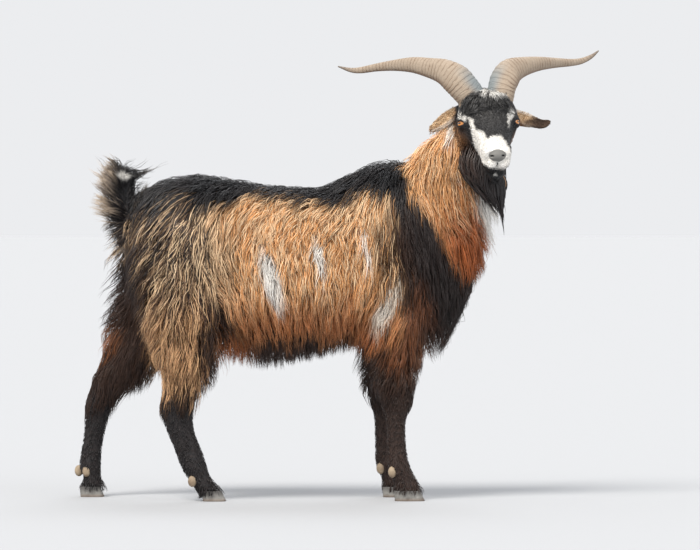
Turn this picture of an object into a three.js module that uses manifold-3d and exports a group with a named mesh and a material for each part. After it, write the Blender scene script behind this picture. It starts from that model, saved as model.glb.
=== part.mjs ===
// A long-haired billy goat, standing side-on with its head turned to its right, as a still life-size model.
// Millimetres, +X towards the goat's front, +Y to its left, +Z up, the soles on Z = 0.
// Each solid has the outer form of the coat, out to the tips of the hair.
import * as THREE from "three";
import { mergeVertices } from "three/addons/utils/BufferGeometryUtils.js";
import Module from "manifold-3d";

const wasm = await Module();
wasm.setup();

// ---------------------------------------------------------------- driving sizes
const GAP = 0.4; // clearance between two pieces that touch
const FORE_X = 238; // the near foreleg's cannon
const FAR_FORE_BACK = 28; // how far the far foreleg stands behind the near one
const FORE_Y = 91; // a foreleg's distance from the middle plane
const HIND_Y = 104;
const EYE_MIDDLE = { x: 460, y: -95, z: 920 }; // midpoint between the eyes
const HEAD_TURN = -82; // degrees about Z from straight ahead: the face looks to the goat's right
const HEAD_DROP = 27.4; // degrees that the line from eye to nose falls
const HEAD_ROLL = 1.7;
const EYE_RADIUS = 15.5;
const CLAW_HEIGHT = 25;
const CLAW_WIDE = 12.6; // half the width of one claw
const CLAW_SPREAD = 13.6; // from the foot's middle to a claw's middle

// The middle of the whole model's box, so that the origin is the bottom centre of that box.
const ORIGIN_X = 89.6;
const ORIGIN_Y = -27.8;

const COLOURS = {
  coat: { color: 0x8a5f3c, roughness: 0.9, metalness: 0 },
  dark_coat: { color: 0x24201e, roughness: 0.85, metalness: 0 },
  face: { color: 0x2b2725, roughness: 0.8, metalness: 0 },
  ear: { color: 0x9a8068, roughness: 0.85, metalness: 0 },
  horn: { color: 0xb09a86, roughness: 0.6, metalness: 0 },
  hoof: { color: 0x8c8378, roughness: 0.6, metalness: 0 },
  eye: { color: 0xc4691c, roughness: 0.15, metalness: 0 },
  nose: { color: 0x77716d, roughness: 0.5, metalness: 0 },
};

const X = new THREE.Vector3(1, 0, 0);
const Y = new THREE.Vector3(0, 1, 0);
const UP = new THREE.Vector3(0, 0, 1);
const DOWN = new THREE.Vector3(0, 0, -1);

// ---------------------------------------------------------------- shape tools
// One station of a body: its centre, half its width, and how far it reaches to its upper and lower side.
const at = (x, y, z, wide, upper, lower = upper) => ({ centre: new THREE.Vector3(x, y, z), wide, upper, lower });

// A closed solid through rings at the stations. `side` is the direction of each ring's width; the rings lie
// across `axis`, or across the path where no axis is given. `power` over 2 squares the rings.
function loft(stations, { side = Y, axis = null, rings, sides, power = 2, grow = 0, flatEnd = false }) {
  const path = new THREE.CatmullRomCurve3(stations.map((s) => s.centre), false, "centripetal");
  const sizes = new THREE.CatmullRomCurve3(
    stations.map((s) => new THREE.Vector3(s.wide, s.upper, s.lower)), false, "catmullrom", 0.5);
  const round = (v) => Math.sign(v) * Math.abs(v) ** (2 / power);
  const points = [];
  const ends = [];
  for (let i = 0; i <= rings; i++) {
    const t = i / rings;
    const centre = path.getPoint(t);
    const along = axis ? axis.clone() : path.getTangent(t);
    const across = side.clone().addScaledVector(along, -side.dot(along)).normalize();
    const over = along.clone().cross(across);
    const size = sizes.getPoint(t);
    if (i === 0) centre.addScaledVector(along, -grow);
    if (i === rings && !flatEnd) centre.addScaledVector(along, grow);
    if (i === 0 || i === rings) ends.push(centre);
    for (let j = 0; j < sides; j++) {
      const angle = (2 * Math.PI * j) / sides;
      const lift = round(Math.sin(angle));
      points.push(centre.clone()
        .addScaledVector(across, round(Math.cos(angle)) * (Math.max(size.x, 1) + grow))
        .addScaledVector(over, lift * (Math.max(lift > 0 ? size.y : size.z, 1) + grow)));
    }
  }
  const faces = [];
  const first = points.length;
  points.push(...ends);
  for (let j = 0; j < sides; j++) {
    const next = (j + 1) % sides;
    faces.push(first, next, j, first + 1, rings * sides + j, rings * sides + next);
    for (let i = 0; i < rings; i++) {
      const low = i * sides;
      const high = low + sides;
      faces.push(low + j, low + next, high + next, low + j, high + next, high + j);
    }
  }
  return new THREE.BufferGeometry().setFromPoints(points).setIndex(faces);
}

// An ellipsoid about a point, with its half-sizes along the three axes.
function ellipsoid(centre, radii, sides = 12) {
  return new THREE.SphereGeometry(1, sides, Math.round(sides * 0.6))
    .scale(...radii)
    .translate(...centre);
}

// A geometry as a solid for cutting and joining.
function solid(geometry, matrix = null) {
  const bare = new THREE.BufferGeometry().setAttribute("position", geometry.getAttribute("position").clone());
  bare.setIndex(geometry.index);
  if (matrix) bare.applyMatrix4(matrix);
  const merged = mergeVertices(bare, 1e-3);
  return new wasm.Manifold(new wasm.Mesh({
    numProp: 3,
    vertProperties: merged.attributes.position.array,
    triVerts: new Uint32Array(merged.index.array),
  }));
}

// The largest of a solid's separate bodies, which leaves out slivers past a cut.
const largest = (cut) => cut.decompose().reduce((a, b) => (a.volume() > b.volume() ? a : b));

// What is left of a solid when its neighbours have taken their room.
const carve = (piece, ...neighbours) => largest(neighbours.reduce((rest, n) => rest.subtract(n), piece));

const goat = new THREE.Group();
goat.name = "goat";

function addMesh(name, piece, look) {
  const { numProp, vertProperties, triVerts, numVert } = piece.getMesh();
  const positions = new Float32Array(numVert * 3);
  for (let i = 0; i < numVert; i++) {
    positions.set(vertProperties.subarray(i * numProp, i * numProp + 3), i * 3);
  }
  const geometry = new THREE.BufferGeometry()
    .setAttribute("position", new THREE.BufferAttribute(positions, 3))
    .setIndex(new THREE.BufferAttribute(triVerts, 1));
  geometry.computeVertexNormals();
  const mesh = new THREE.Mesh(geometry, new THREE.MeshStandardMaterial(COLOURS[look]));
  mesh.name = name;
  goat.add(mesh);
}

// A body part kept twice: as it is, and grown by the gap, which cuts its neighbours.
function part(stations, options, matrix = null) {
  return {
    own: solid(loft(stations, options), matrix),
    room: solid(loft(stations, { ...options, grow: GAP }), matrix),
  };
}

// ---------------------------------------------------------------- trunk, neck, tail
// A ring of the trunk at x, given by its top and bottom level and its half width.
const girth = (x, top, bottom, wide) => at(x, 0, (top + bottom) / 2, wide, (top - bottom) / 2);

const trunk = part([
  girth(-432, 690, 600, 30),
  girth(-412, 732, 540, 84),
  girth(-372, 770, 470, 124),
  girth(-318, 793, 425, 150),
  girth(-245, 800, 385, 166),
  girth(-147, 788, 328, 174),
  girth(-50, 774, 322, 180),
  girth(50, 772, 345, 180),
  girth(115, 800, 362, 176),
  girth(175, 830, 372, 168),
  girth(240, 842, 362, 154),
  girth(300, 812, 345, 136),
  girth(348, 770, 338, 112),
  girth(390, 715, 412, 86),
  girth(428, 690, 500, 60),
  girth(456, 664, 540, 34),
  girth(472, 640, 580, 12),
], { axis: X, rings: 24, sides: 20, power: 2.2 });

const neck = part([
  at(245, 0, 640, 122, 140, 150),
  at(312, -2, 722, 110, 122, 200),
  at(362, -8, 800, 92, 106, 150),
  at(400, -14, 864, 80, 78, 96),
  at(424, -16, 912, 66, 62, 62),
  at(440, -24, 950, 40, 36, 36),
], { rings: 11, sides: 16, power: 2.1 });

const tail = part([
  at(-425, 0, 640, 36, 53, 25),
  at(-440, 0, 690, 38, 62, 22),
  at(-450, 0, 735, 42, 62, 22),
  at(-452, 0, 770, 42, 53, 34),
  at(-450, 0, 797, 36, 40, 46),
  at(-452, 0, 817, 24, 24, 26),
  at(-453, 0, 831, 7, 7, 7),
], { axis: UP, rings: 10, sides: 12 });

// ---------------------------------------------------------------- head
const headFrame = new THREE.Matrix4()
  .makeRotationFromEuler(new THREE.Euler(
    THREE.MathUtils.degToRad(HEAD_ROLL),
    THREE.MathUtils.degToRad(HEAD_DROP),
    THREE.MathUtils.degToRad(HEAD_TURN), "ZYX"))
  .setPosition(EYE_MIDDLE.x, EYE_MIDDLE.y, EYE_MIDDLE.z);

// In the head's own frame x runs from eye to nose, y to the goat's left and z over the forehead.
const skull = part([
  at(-98, 0, 6, 30, 24, 26),
  at(-88, 0, 0, 55, 52, 52),
  at(-64, 0, 0, 70, 65, 80),
  at(-32, 0, 0, 75, 62, 90),
  at(0, 0, 0, 73, 50, 90),
  at(34, 0, 0, 58, 41, 84),
  at(70, 0, 0, 46, 33, 77),
  at(104, 0, 0, 41, 26, 72),
  at(136, 0, 0, 42, 21, 68),
  at(156, 0, 0, 36, 14, 58),
  at(168, 0, -2, 22, 4, 42),
], { axis: X, rings: 15, sides: 18, power: 2.25 }, headFrame);

const SIDES = { right: -1, left: 1 };
const eyeAt = (s) => [-2, s * 60, 2];
const lidsAt = (s) => [6, s * 70, 2];

// The skull with its brows and cheeks, grown by `more` all round.
function fullHead(base, more) {
  return Object.values(SIDES).reduce((whole, s) => {
    const brow = ellipsoid([-8, s * 58, 20], [30, 20, 16].map((r) => r + more), 8);
    const cheek = ellipsoid([-24, s * 50, -42], [50, 24, 40].map((r) => r + more), 9);
    return whole.add(solid(brow, headFrame)).add(solid(cheek, headFrame));
  }, base);
}

const headRoom = fullHead(skull.room, GAP);
let headSolid = fullHead(skull.own, 0);
for (const s of Object.values(SIDES)) {
  const eyeRoom = ellipsoid(eyeAt(s), Array(3).fill(EYE_RADIUS + GAP), 12);
  const lidOpening = ellipsoid(lidsAt(s), [13, 16, 8], 8);
  for (const hollow of [eyeRoom, lidOpening]) headSolid = headSolid.subtract(solid(hollow, headFrame));
}
// The closed mouth is a thin wedge from the lips back to the corner.
const mouth = new THREE.BoxGeometry(70, 120, 2.4)
  .rotateY(THREE.MathUtils.degToRad(8))
  .translate(152, 0, -44);
const NOSE = { centre: [158, 0, -5], radii: [14, 21, 15] };
const nosePad = solid(ellipsoid(NOSE.centre, NOSE.radii, 12), headFrame);
const noseRoom = solid(ellipsoid(NOSE.centre, NOSE.radii.map((r) => r + GAP), 12), headFrame);
headSolid = headSolid.subtract(solid(mouth, headFrame)).subtract(noseRoom);

// ---------------------------------------------------------------- beard, under the chin and jaw
const BEARD_SIDE = new THREE.Vector3(Math.cos(0.14), Math.sin(0.14), 0);
const beard = part([
  at(464, -100, 860, 52, 54, 50),
  at(465, -118, 808, 58, 56, 48),
  at(468, -134, 758, 44, 42, 40),
  at(475, -146, 718, 25, 24, 24),
  at(488, -152, 684, 8, 9, 9),
  at(496, -156, 632, 3, 3, 3),
], { side: BEARD_SIDE, axis: DOWN, rings: 9, sides: 11 });

// ---------------------------------------------------------------- horns
// From below the brow outwards: place in the head's frame, half thickness along and across the view from in front.
const HORNS = {
  right: [
    at(-30, -36, 34, 27, 33), at(-38, -42, 57, 27, 35), at(-50, -59, 77, 26, 36.5), at(-66, -76, 91, 25, 37),
    at(-90, -101, 99, 22, 31), at(-120, -132, 95, 18, 24.5), at(-155, -168, 86, 15, 19.3),
    at(-190, -208, 68, 11.5, 13.8), at(-218, -248, 49, 8.5, 10), at(-238, -285, 32, 6.5, 7.8),
    at(-250, -309, 27, 4.6, 5.6), at(-260, -339, 32.5, 1.4, 1.4),
  ],
  left: [
    at(-30, 31, 36, 26, 30), at(-38, 33.5, 57, 27, 32.5), at(-50, 37.5, 73, 26, 33.5), at(-66, 46, 86, 25, 34.5),
    at(-90, 63, 94, 22, 32), at(-120, 97, 91, 18, 24), at(-155, 142, 80, 15, 17.4),
    at(-190, 189, 63, 11.5, 12.4), at(-218, 231, 48, 8.5, 9.2), at(-238, 262, 41, 6.5, 7.5),
    at(-250, 288, 46, 4.6, 5.2), at(-260, 308.5, 57, 1.4, 1.4),
  ],
};
const FACING = new THREE.Vector3(0.873, -0.142, 0.466); // square to the goat's length, from the head

// ---------------------------------------------------------------- ears
// From inside the head to the tip, in the head's frame: half thickness, then the half widths.
const EARS = {
  right: {
    flat: new THREE.Vector3(0.44, -0.385, 0.8),
    stations: [
      at(-52, -60, 16, 12, 13), at(-57, -72, 6, 9, 17), at(-68, -88, -10, 6, 22),
      at(-82, -103, -30, 5, 23), at(-93, -115, -47, 5, 18), at(-101, -124, -60, 4, 10), at(-105, -129, -67, 3, 4),
    ],
  },
  left: {
    flat: new THREE.Vector3(0.8, 0.1, 0.6),
    stations: [
      at(-52, 62, -6, 12, 16), at(-57, 80, -16, 11, 19), at(-65, 103, -27, 9, 17),
      at(-73, 124, -38, 6, 12), at(-79, 142, -46, 5, 9.5), at(-84, 158, -47.5, 5, 10), at(-87, 169, -47, 3, 5),
    ],
  },
};

// ---------------------------------------------------------------- legs
// Each leg is a shaggy upper part and a short-haired lower part, given from the top down. The second number is
// the distance from the middle plane; the upper side is the front and the lower side is the back.
const LEGS = {
  hind_right: {
    side: -1,
    upper: [
      at(-290, 82, 720, 56, 80), at(-290, 106, 640, 68, 120, 124), at(-285, 117, 540, 74, 132, 148),
      at(-280, 121, 450, 72, 124, 138), at(-270, 119, 370, 63, 94, 104), at(-262, 114, 310, 51, 66, 74),
      at(-262, 108, 256, 31, 42, 44),
    ],
    lower: [
      at(-284, HIND_Y, 306, 34, 42, 42), at(-298, HIND_Y, 240, 33, 42, 42), at(-298, HIND_Y, 212, 29, 39, 41),
      at(-289, HIND_Y, 168, 25, 34, 35), at(-271, HIND_Y, 122, 24, 34, 34), at(-258, HIND_Y, 84, 28, 33, 33),
      at(-246, HIND_Y, 60, 25, 29, 30), at(-221, HIND_Y, 25.5, 28, 30, 27),
    ],
    claw: { x: -213, front: 33, back: 23 },
    dewclaws: { z: 49, inner: -262, outer: -262 },
  },
  hind_left: {
    side: 1,
    upper: [
      at(-300, 82, 720, 56, 80), at(-326, 106, 640, 68, 96, 148), at(-335, 117, 550, 72, 110, 157),
      at(-352, 121, 440, 68, 102, 155), at(-374, 119, 365, 60, 86, 116), at(-404, 114, 310, 47, 56, 84),
      at(-438, 108, 256, 31, 58, 52),
    ],
    lower: [
      at(-462, HIND_Y, 298, 33, 44, 40), at(-490, HIND_Y, 235, 31, 34, 38), at(-500, HIND_Y, 194, 26, 29, 31),
      at(-509, HIND_Y, 145, 23, 26, 27), at(-514, HIND_Y, 112, 23, 26, 27), at(-518, HIND_Y, 76, 27, 28, 28),
      at(-512, HIND_Y, 50, 24, 23, 24), at(-511, HIND_Y, 25.5, 28, 30, 30),
    ],
    claw: { x: -512, front: 29, back: 29 },
    dewclaws: { z: 63, inner: -526, outer: -546 },
  },
};
for (const [name, side, x] of [["fore_right", -1, FORE_X], ["fore_left", 1, FORE_X - FAR_FORE_BACK]]) {
  LEGS[name] = {
    side,
    upper: [
      at(x + 2, 68, 520, 54, 72, 74), at(x + 5, 84, 430, 58, 72, 84), at(x + 2, 90, 366, 54, 64, 84),
      at(x - 3, 92, 314, 46, 62, 82), at(x - 6, 91, 272, 37, 50, 60), at(x - 9, 91, 244, 30, 41, 42),
    ],
    lower: [
      at(x + 1, FORE_Y, 288, 32, 40, 42), at(x + 1, FORE_Y, 238, 31, 37, 40), at(x - 1, FORE_Y, 205, 25, 25, 30),
      at(x - 3, FORE_Y, 165, 22, 24, 25), at(x - 1, FORE_Y, 122, 22, 25, 26), at(x + 4, FORE_Y, 80, 27, 30, 29),
      at(x + 18, FORE_Y, 50, 24, 32, 30), at(x + 27, FORE_Y, 25.5, 28, 34, 34),
    ],
    claw: { x: x + 30, front: 37, back: 36 },
    dewclaws: { z: 71, inner: x - 12, outer: x - 12 },
  };
}

function leg(name) {
  const { side, upper, lower, claw, dewclaws } = LEGS[name];
  for (const station of [...upper, ...lower]) station.centre.y *= side;
  const foot = side * (name.startsWith("hind") ? HIND_Y : FORE_Y);
  const made = {
    upper: part(upper, { axis: DOWN, rings: 9, sides: 12 }),
    lower: part(lower, { axis: DOWN, rings: 11, sides: 10, flatEnd: true }),
    claws: {},
    dewclaws: {},
  };
  for (const [digit, s] of [["inner", -side], ["outer", side]]) {
    const middle = foot + s * CLAW_SPREAD;
    made.claws[digit] = solid(loft([
      at(claw.x - 5, middle, CLAW_HEIGHT, CLAW_WIDE - 1, claw.front - 6, claw.back - 3),
      at(claw.x, middle, 0, CLAW_WIDE, claw.front, claw.back),
    ], { axis: DOWN, rings: 1, sides: 12, power: 2.3 }));
    const spur = [dewclaws[digit], foot + s * 16, dewclaws.z];
    const radii = [12, 10, 15];
    made.dewclaws[digit] = {
      own: solid(ellipsoid(spur, radii, 8)),
      room: solid(ellipsoid(spur, radii.map((r) => r + GAP), 8)),
    };
  }
  return made;
}

// ---------------------------------------------------------------- assembly
const horns = {};
const ears = {};
for (const name of Object.keys(SIDES)) {
  horns[name] = part(HORNS[name], { side: FACING, rings: 18, sides: 11 }, headFrame);
  ears[name] = part(EARS[name].stations, { side: EARS[name].flat, rings: 8, sides: 9 }, headFrame);
}

addMesh("trunk", trunk.own, "coat");
addMesh("neck", carve(neck.own, trunk.room), "coat");
addMesh("tail", carve(tail.own, trunk.room), "dark_coat");
addMesh("head", carve(headSolid, neck.room, horns.right.room, horns.left.room), "face");
addMesh("nose_pad", nosePad, "nose");
addMesh("beard", carve(beard.own, headRoom, neck.room, trunk.room), "dark_coat");

for (const [side, s] of Object.entries(SIDES)) {
  addMesh(`horn_${side}`, horns[side].own, "horn");
  addMesh(`ear_${side}`, carve(ears[side].own, headRoom, neck.room, horns[side].room), "ear");
  addMesh(`eye_${side}`, solid(ellipsoid(eyeAt(s), Array(3).fill(EYE_RADIUS), 12), headFrame), "eye");
}

for (const name of Object.keys(LEGS)) {
  const { upper, lower, claws, dewclaws } = leg(name);
  addMesh(`upper_leg_${name}`, carve(upper.own, trunk.room, tail.room), "coat");
  addMesh(`lower_leg_${name}`, carve(lower.own, upper.room, dewclaws.inner.room, dewclaws.outer.room), "dark_coat");
  for (const digit of Object.keys(claws)) {
    addMesh(`claw_${name}_${digit}`, claws[digit], "hoof");
    addMesh(`dewclaw_${name}_${digit}`, dewclaws[digit].own, "hoof");
  }
}

goat.position.set(-ORIGIN_X, -ORIGIN_Y, 0);

export default goat;
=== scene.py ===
"""A long-haired billy goat as a still, life-size model: skin, coat, horns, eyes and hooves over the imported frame.

Shapes are worked out in millimetres in the goat's own axes: x towards its front, y to its left, z up, with the
soles on z = 0. They move to the frame's origin and to metres when a mesh is made.
"""

from __future__ import annotations

import itertools
import logging
import math
from dataclasses import dataclass
from enum import Enum
from typing import Callable, Sequence

import bpy
import numpy as np
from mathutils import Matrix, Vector
from mathutils.kdtree import KDTree

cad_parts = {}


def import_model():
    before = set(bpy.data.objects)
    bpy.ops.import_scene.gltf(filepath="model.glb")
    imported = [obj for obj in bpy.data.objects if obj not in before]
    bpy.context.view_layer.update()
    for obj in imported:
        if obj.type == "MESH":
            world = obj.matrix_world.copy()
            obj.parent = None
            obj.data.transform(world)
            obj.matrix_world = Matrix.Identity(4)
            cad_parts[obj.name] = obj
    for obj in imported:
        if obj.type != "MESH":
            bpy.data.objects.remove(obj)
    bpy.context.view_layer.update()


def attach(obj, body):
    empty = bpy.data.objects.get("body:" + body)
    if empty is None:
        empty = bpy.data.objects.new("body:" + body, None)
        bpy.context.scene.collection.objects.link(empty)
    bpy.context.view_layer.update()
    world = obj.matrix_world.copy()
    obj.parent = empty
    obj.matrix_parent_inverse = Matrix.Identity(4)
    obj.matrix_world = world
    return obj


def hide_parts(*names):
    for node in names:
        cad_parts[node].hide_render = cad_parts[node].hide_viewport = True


LOG = logging.getLogger("goat")
Array = np.ndarray
Rows = Sequence[Sequence[float]]
Colour = tuple[float, float, float]
Shell = tuple[Array, list[Array]]
Rng = np.random.Generator

ORIGIN = np.array([89.6, -27.8, 0.0])  # the frame's origin in the goat's axes
METRES = 0.001  # metres in a millimetre
MIDDLE = (122.5, 0.0, 548.8)  # the middle of the goat's side as it is seen
FAR = 20000.0  # how far away the side is seen from
LEAN = 0.0262  # how far the side chart leans back, a degree and a half
EYE_MIDDLE = np.array([460.0, -95.0, 920.0])
EYE_RADIUS = 15.5
SIDES = {"right": -1.0, "left": 1.0}
SIDE_NAMES = {s: name for name, s in SIDES.items()}
X, Y, UP, DOWN = (1.0, 0.0, 0.0), (0.0, 1.0, 0.0), (0.0, 0.0, 1.0), (0.0, 0.0, -1.0)


# ---- small maths


def unit(v: Array) -> Array:
    """Scales vectors along the last axis to length one."""
    v = np.asarray(v, float)
    return v / np.maximum(np.linalg.norm(v, axis=-1, keepdims=True), 1e-9)


def ramp(x: Array, low: float, high: float) -> Array:
    """Rises smoothly from 0 at low to 1 at high."""
    t = np.clip((np.asarray(x, float) - low) / (high - low), 0.0, 1.0)
    return t * t * (3 - 2 * t)


def dot(a: Array, b: Array) -> Array:
    """Multiplies vectors point by point and keeps the last axis."""
    return np.sum(a * b, axis=-1, keepdims=True)


def columns(*values: Array | float) -> Array:
    """Puts values side by side as a new last axis, and spreads plain numbers."""
    return np.stack(np.broadcast_arrays(*values), axis=-1)


def around(sides: int) -> Array:
    """Gives the angles of a ring's points."""
    return np.linspace(0, 2 * math.pi, sides, endpoint=False)


def squared(c: Array, s: Array, power: float) -> Array:
    """Gives how far out a rounded square lies towards cosine c and sine s."""
    return 1 / (np.abs(c) ** power + np.abs(s) ** power) ** (1 / power)


def box(points: Array, size: Array | float) -> tuple[Array, Array]:
    """Gives the corners of a box around points of some size."""
    return (points - size).min(axis=0), (points + size).max(axis=0)


def turn(roll: float, drop: float, yaw: float) -> Array:
    """Makes a rotation from degrees about x, then y, then z.

    Args:
        roll: Degrees about x.
        drop: Degrees about y.
        yaw: Degrees about z.

    Returns:
        A 3 by 3 matrix whose columns are the turned axes.
    """
    r, d, w = (math.radians(a) for a in (roll, drop, yaw))
    about_x = np.array([[1, 0, 0], [0, math.cos(r), -math.sin(r)], [0, math.sin(r), math.cos(r)]])
    about_y = np.array([[math.cos(d), 0, math.sin(d)], [0, 1, 0], [-math.sin(d), 0, math.cos(d)]])
    about_z = np.array([[math.cos(w), -math.sin(w), 0], [math.sin(w), math.cos(w), 0], [0, 0, 1]])
    return about_z @ about_y @ about_x


HEAD_TURN = turn(1.7, 27.4, -82.0)


def to_head(points: Array) -> Array:
    """Gives points in the head's frame: eye to nose, to the left, over the forehead."""
    return (points - EYE_MIDDLE) @ HEAD_TURN


def from_head(points: Array) -> Array:
    """Gives points of the head's frame in the goat's axes."""
    return np.asarray(points, float) @ HEAD_TURN.T + EYE_MIDDLE


def smooth_rows(rows: Rows, steps: int) -> Array:
    """Draws a smooth curve through rows of numbers.

    Args:
        rows: The rows to pass through.
        steps: Rows to make for each gap.

    Returns:
        The finer rows.
    """
    p = np.array(rows, float)
    p = np.vstack([2 * p[0] - p[1], p, 2 * p[-1] - p[-2]])
    t = np.arange(steps)[:, None] / steps
    spans = []
    for a, b, c, d in zip(p[:-3], p[1:-2], p[2:-1], p[3:]):
        spans.append(0.5 * (2 * b + (c - a) * t + (2 * a - 5 * b + 4 * c - d) * t**2
                            + (3 * b - a - 3 * c + d) * t**3))
    return np.vstack([*spans, p[-2][None]])


def smooth_min(a: Array, b: Array, soft: float) -> Array:
    """Joins two distance fields with a rounded seam of the given width."""
    h = np.clip(0.5 + 0.5 * (a - b) / soft, 0.0, 1.0)
    return a * (1 - h) + b * h - soft * h * (1 - h)


def wander(points: Array, size: float, seed: int) -> Array:
    """Gives a smooth random value between about -1 and 1 that changes over the given size.

    Args:
        points: Where to read it.
        size: Millimetres over which it changes.
        seed: Which pattern.

    Returns:
        One value for each point.
    """
    rng = np.random.default_rng(seed)
    total = np.zeros(points.shape[:-1])
    for k in range(6):
        wave = unit(rng.normal(size=3)) * (0.7 + 0.25 * k) * 2 * math.pi / size
        total += np.sin(points @ wave + rng.uniform(0, 6.28)) * 0.42
    return total


# ---- solid shapes as distance fields


@dataclass
class Loft:
    """A body part given by cross-sections at stations along a straight axis.

    Each station is x, y, z, half width, reach to the upper side and reach to the lower side.
    """

    stations: Rows
    axis: Sequence[float]
    side: Sequence[float] = (0, 1, 0)
    power: float = 2.1
    cup: float = 0.0
    shrink: tuple[float, float, float] = (0.0, 0.0, 0.0)

    def __post_init__(self) -> None:
        """Works out the cross-sections between the stations."""
        self.axis = unit(np.array(self.axis, float))
        side = np.array(self.side, float)
        self.side = unit(side - self.axis * (side @ self.axis))
        self.over = np.cross(self.axis, self.side)
        rows = np.array(self.stations, float)
        basis = np.stack([self.axis, self.side, self.over])
        table = np.hstack([rows[:, :3] @ basis.T, np.maximum(rows[:, 3:] - self.shrink, 2.0)])
        self.table = smooth_rows(table, 8)

    def reach(self, margin: float) -> tuple[Array, Array]:
        """Gives the corners of a box around the part."""
        rows = np.array(self.stations, float)
        return box(rows[:, :3], rows[:, 3:].max(axis=1, keepdims=True) + margin)

    def section(self, along: Array) -> Sequence[Array]:
        """Gives the middle's two places, the half width and both reaches at places along the axis."""
        return [np.interp(along, self.table[:, 0], self.table[:, k]) for k in range(1, 6)]

    def distance(self, p: Array) -> Array:
        """Measures the distance to the part's surface.

        Args:
            p: Points.

        Returns:
            The distance of each, negative inside.
        """
        t = self.table
        along = p @ self.axis
        mid_s, mid_o, wide, up, low = self.section(along)
        s = p @ self.side - mid_s
        o = p @ self.over - mid_o - self.cup * s * s / wide
        tall = np.where(o > 0, up, low)
        r = ((np.abs(s) / wide) ** self.power + (np.abs(o) / tall) ** self.power) ** (1 / self.power)
        radial = np.hypot(s, o) * (1 - 1 / np.maximum(r, 0.05))
        past = np.maximum(along - t[-1, 0], t[0, 0] - along)
        return np.where((radial > 0) & (past > 0), np.hypot(radial, past), np.maximum(radial, past))


@dataclass
class Ball:
    """An ellipsoid, with an optional frame whose columns are its axes."""

    centre: Sequence[float]
    radii: Sequence[float]
    frame: Array | None = None

    def reach(self, margin: float) -> tuple[Array, Array]:
        """Gives the corners of a box around the ellipsoid."""
        return box(np.array([self.centre], float), max(self.radii) + margin)

    def distance(self, p: Array) -> Array:
        """Measures points from the surface.

        Args:
            p: The points.

        Returns:
            The distance of each, negative inside.
        """
        q = p - np.array(self.centre, float)
        if self.frame is not None:
            q = q @ self.frame
        r = np.array(self.radii, float)
        near = np.linalg.norm(q / r, axis=-1)
        return near * (near - 1) / np.maximum(np.linalg.norm(q / r**2, axis=-1), 1e-6)


@dataclass
class Bone:
    """A rod between two points whose radius changes from one to the other."""

    start: Sequence[float]
    end: Sequence[float]
    start_radius: float
    end_radius: float

    def reach(self, margin: float) -> tuple[Array, Array]:
        """Gives the corners of a box around the rod."""
        return box(np.array([self.start, self.end], float), max(self.start_radius, self.end_radius) + margin)

    def distance(self, p: Array) -> Array:
        """Measures points from the surface.

        Args:
            p: The points.

        Returns:
            The distance of each, negative inside.
        """
        a, b = np.array(self.start, float), np.array(self.end, float)
        t = np.clip((p - a) @ (b - a) / ((b - a) @ (b - a)), 0, 1)
        from_middle = np.linalg.norm(p - a - t[..., None] * (b - a), axis=-1)
        return from_middle - self.start_radius - t * (self.end_radius - self.start_radius)


Shape = Loft | Ball | Bone


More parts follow.
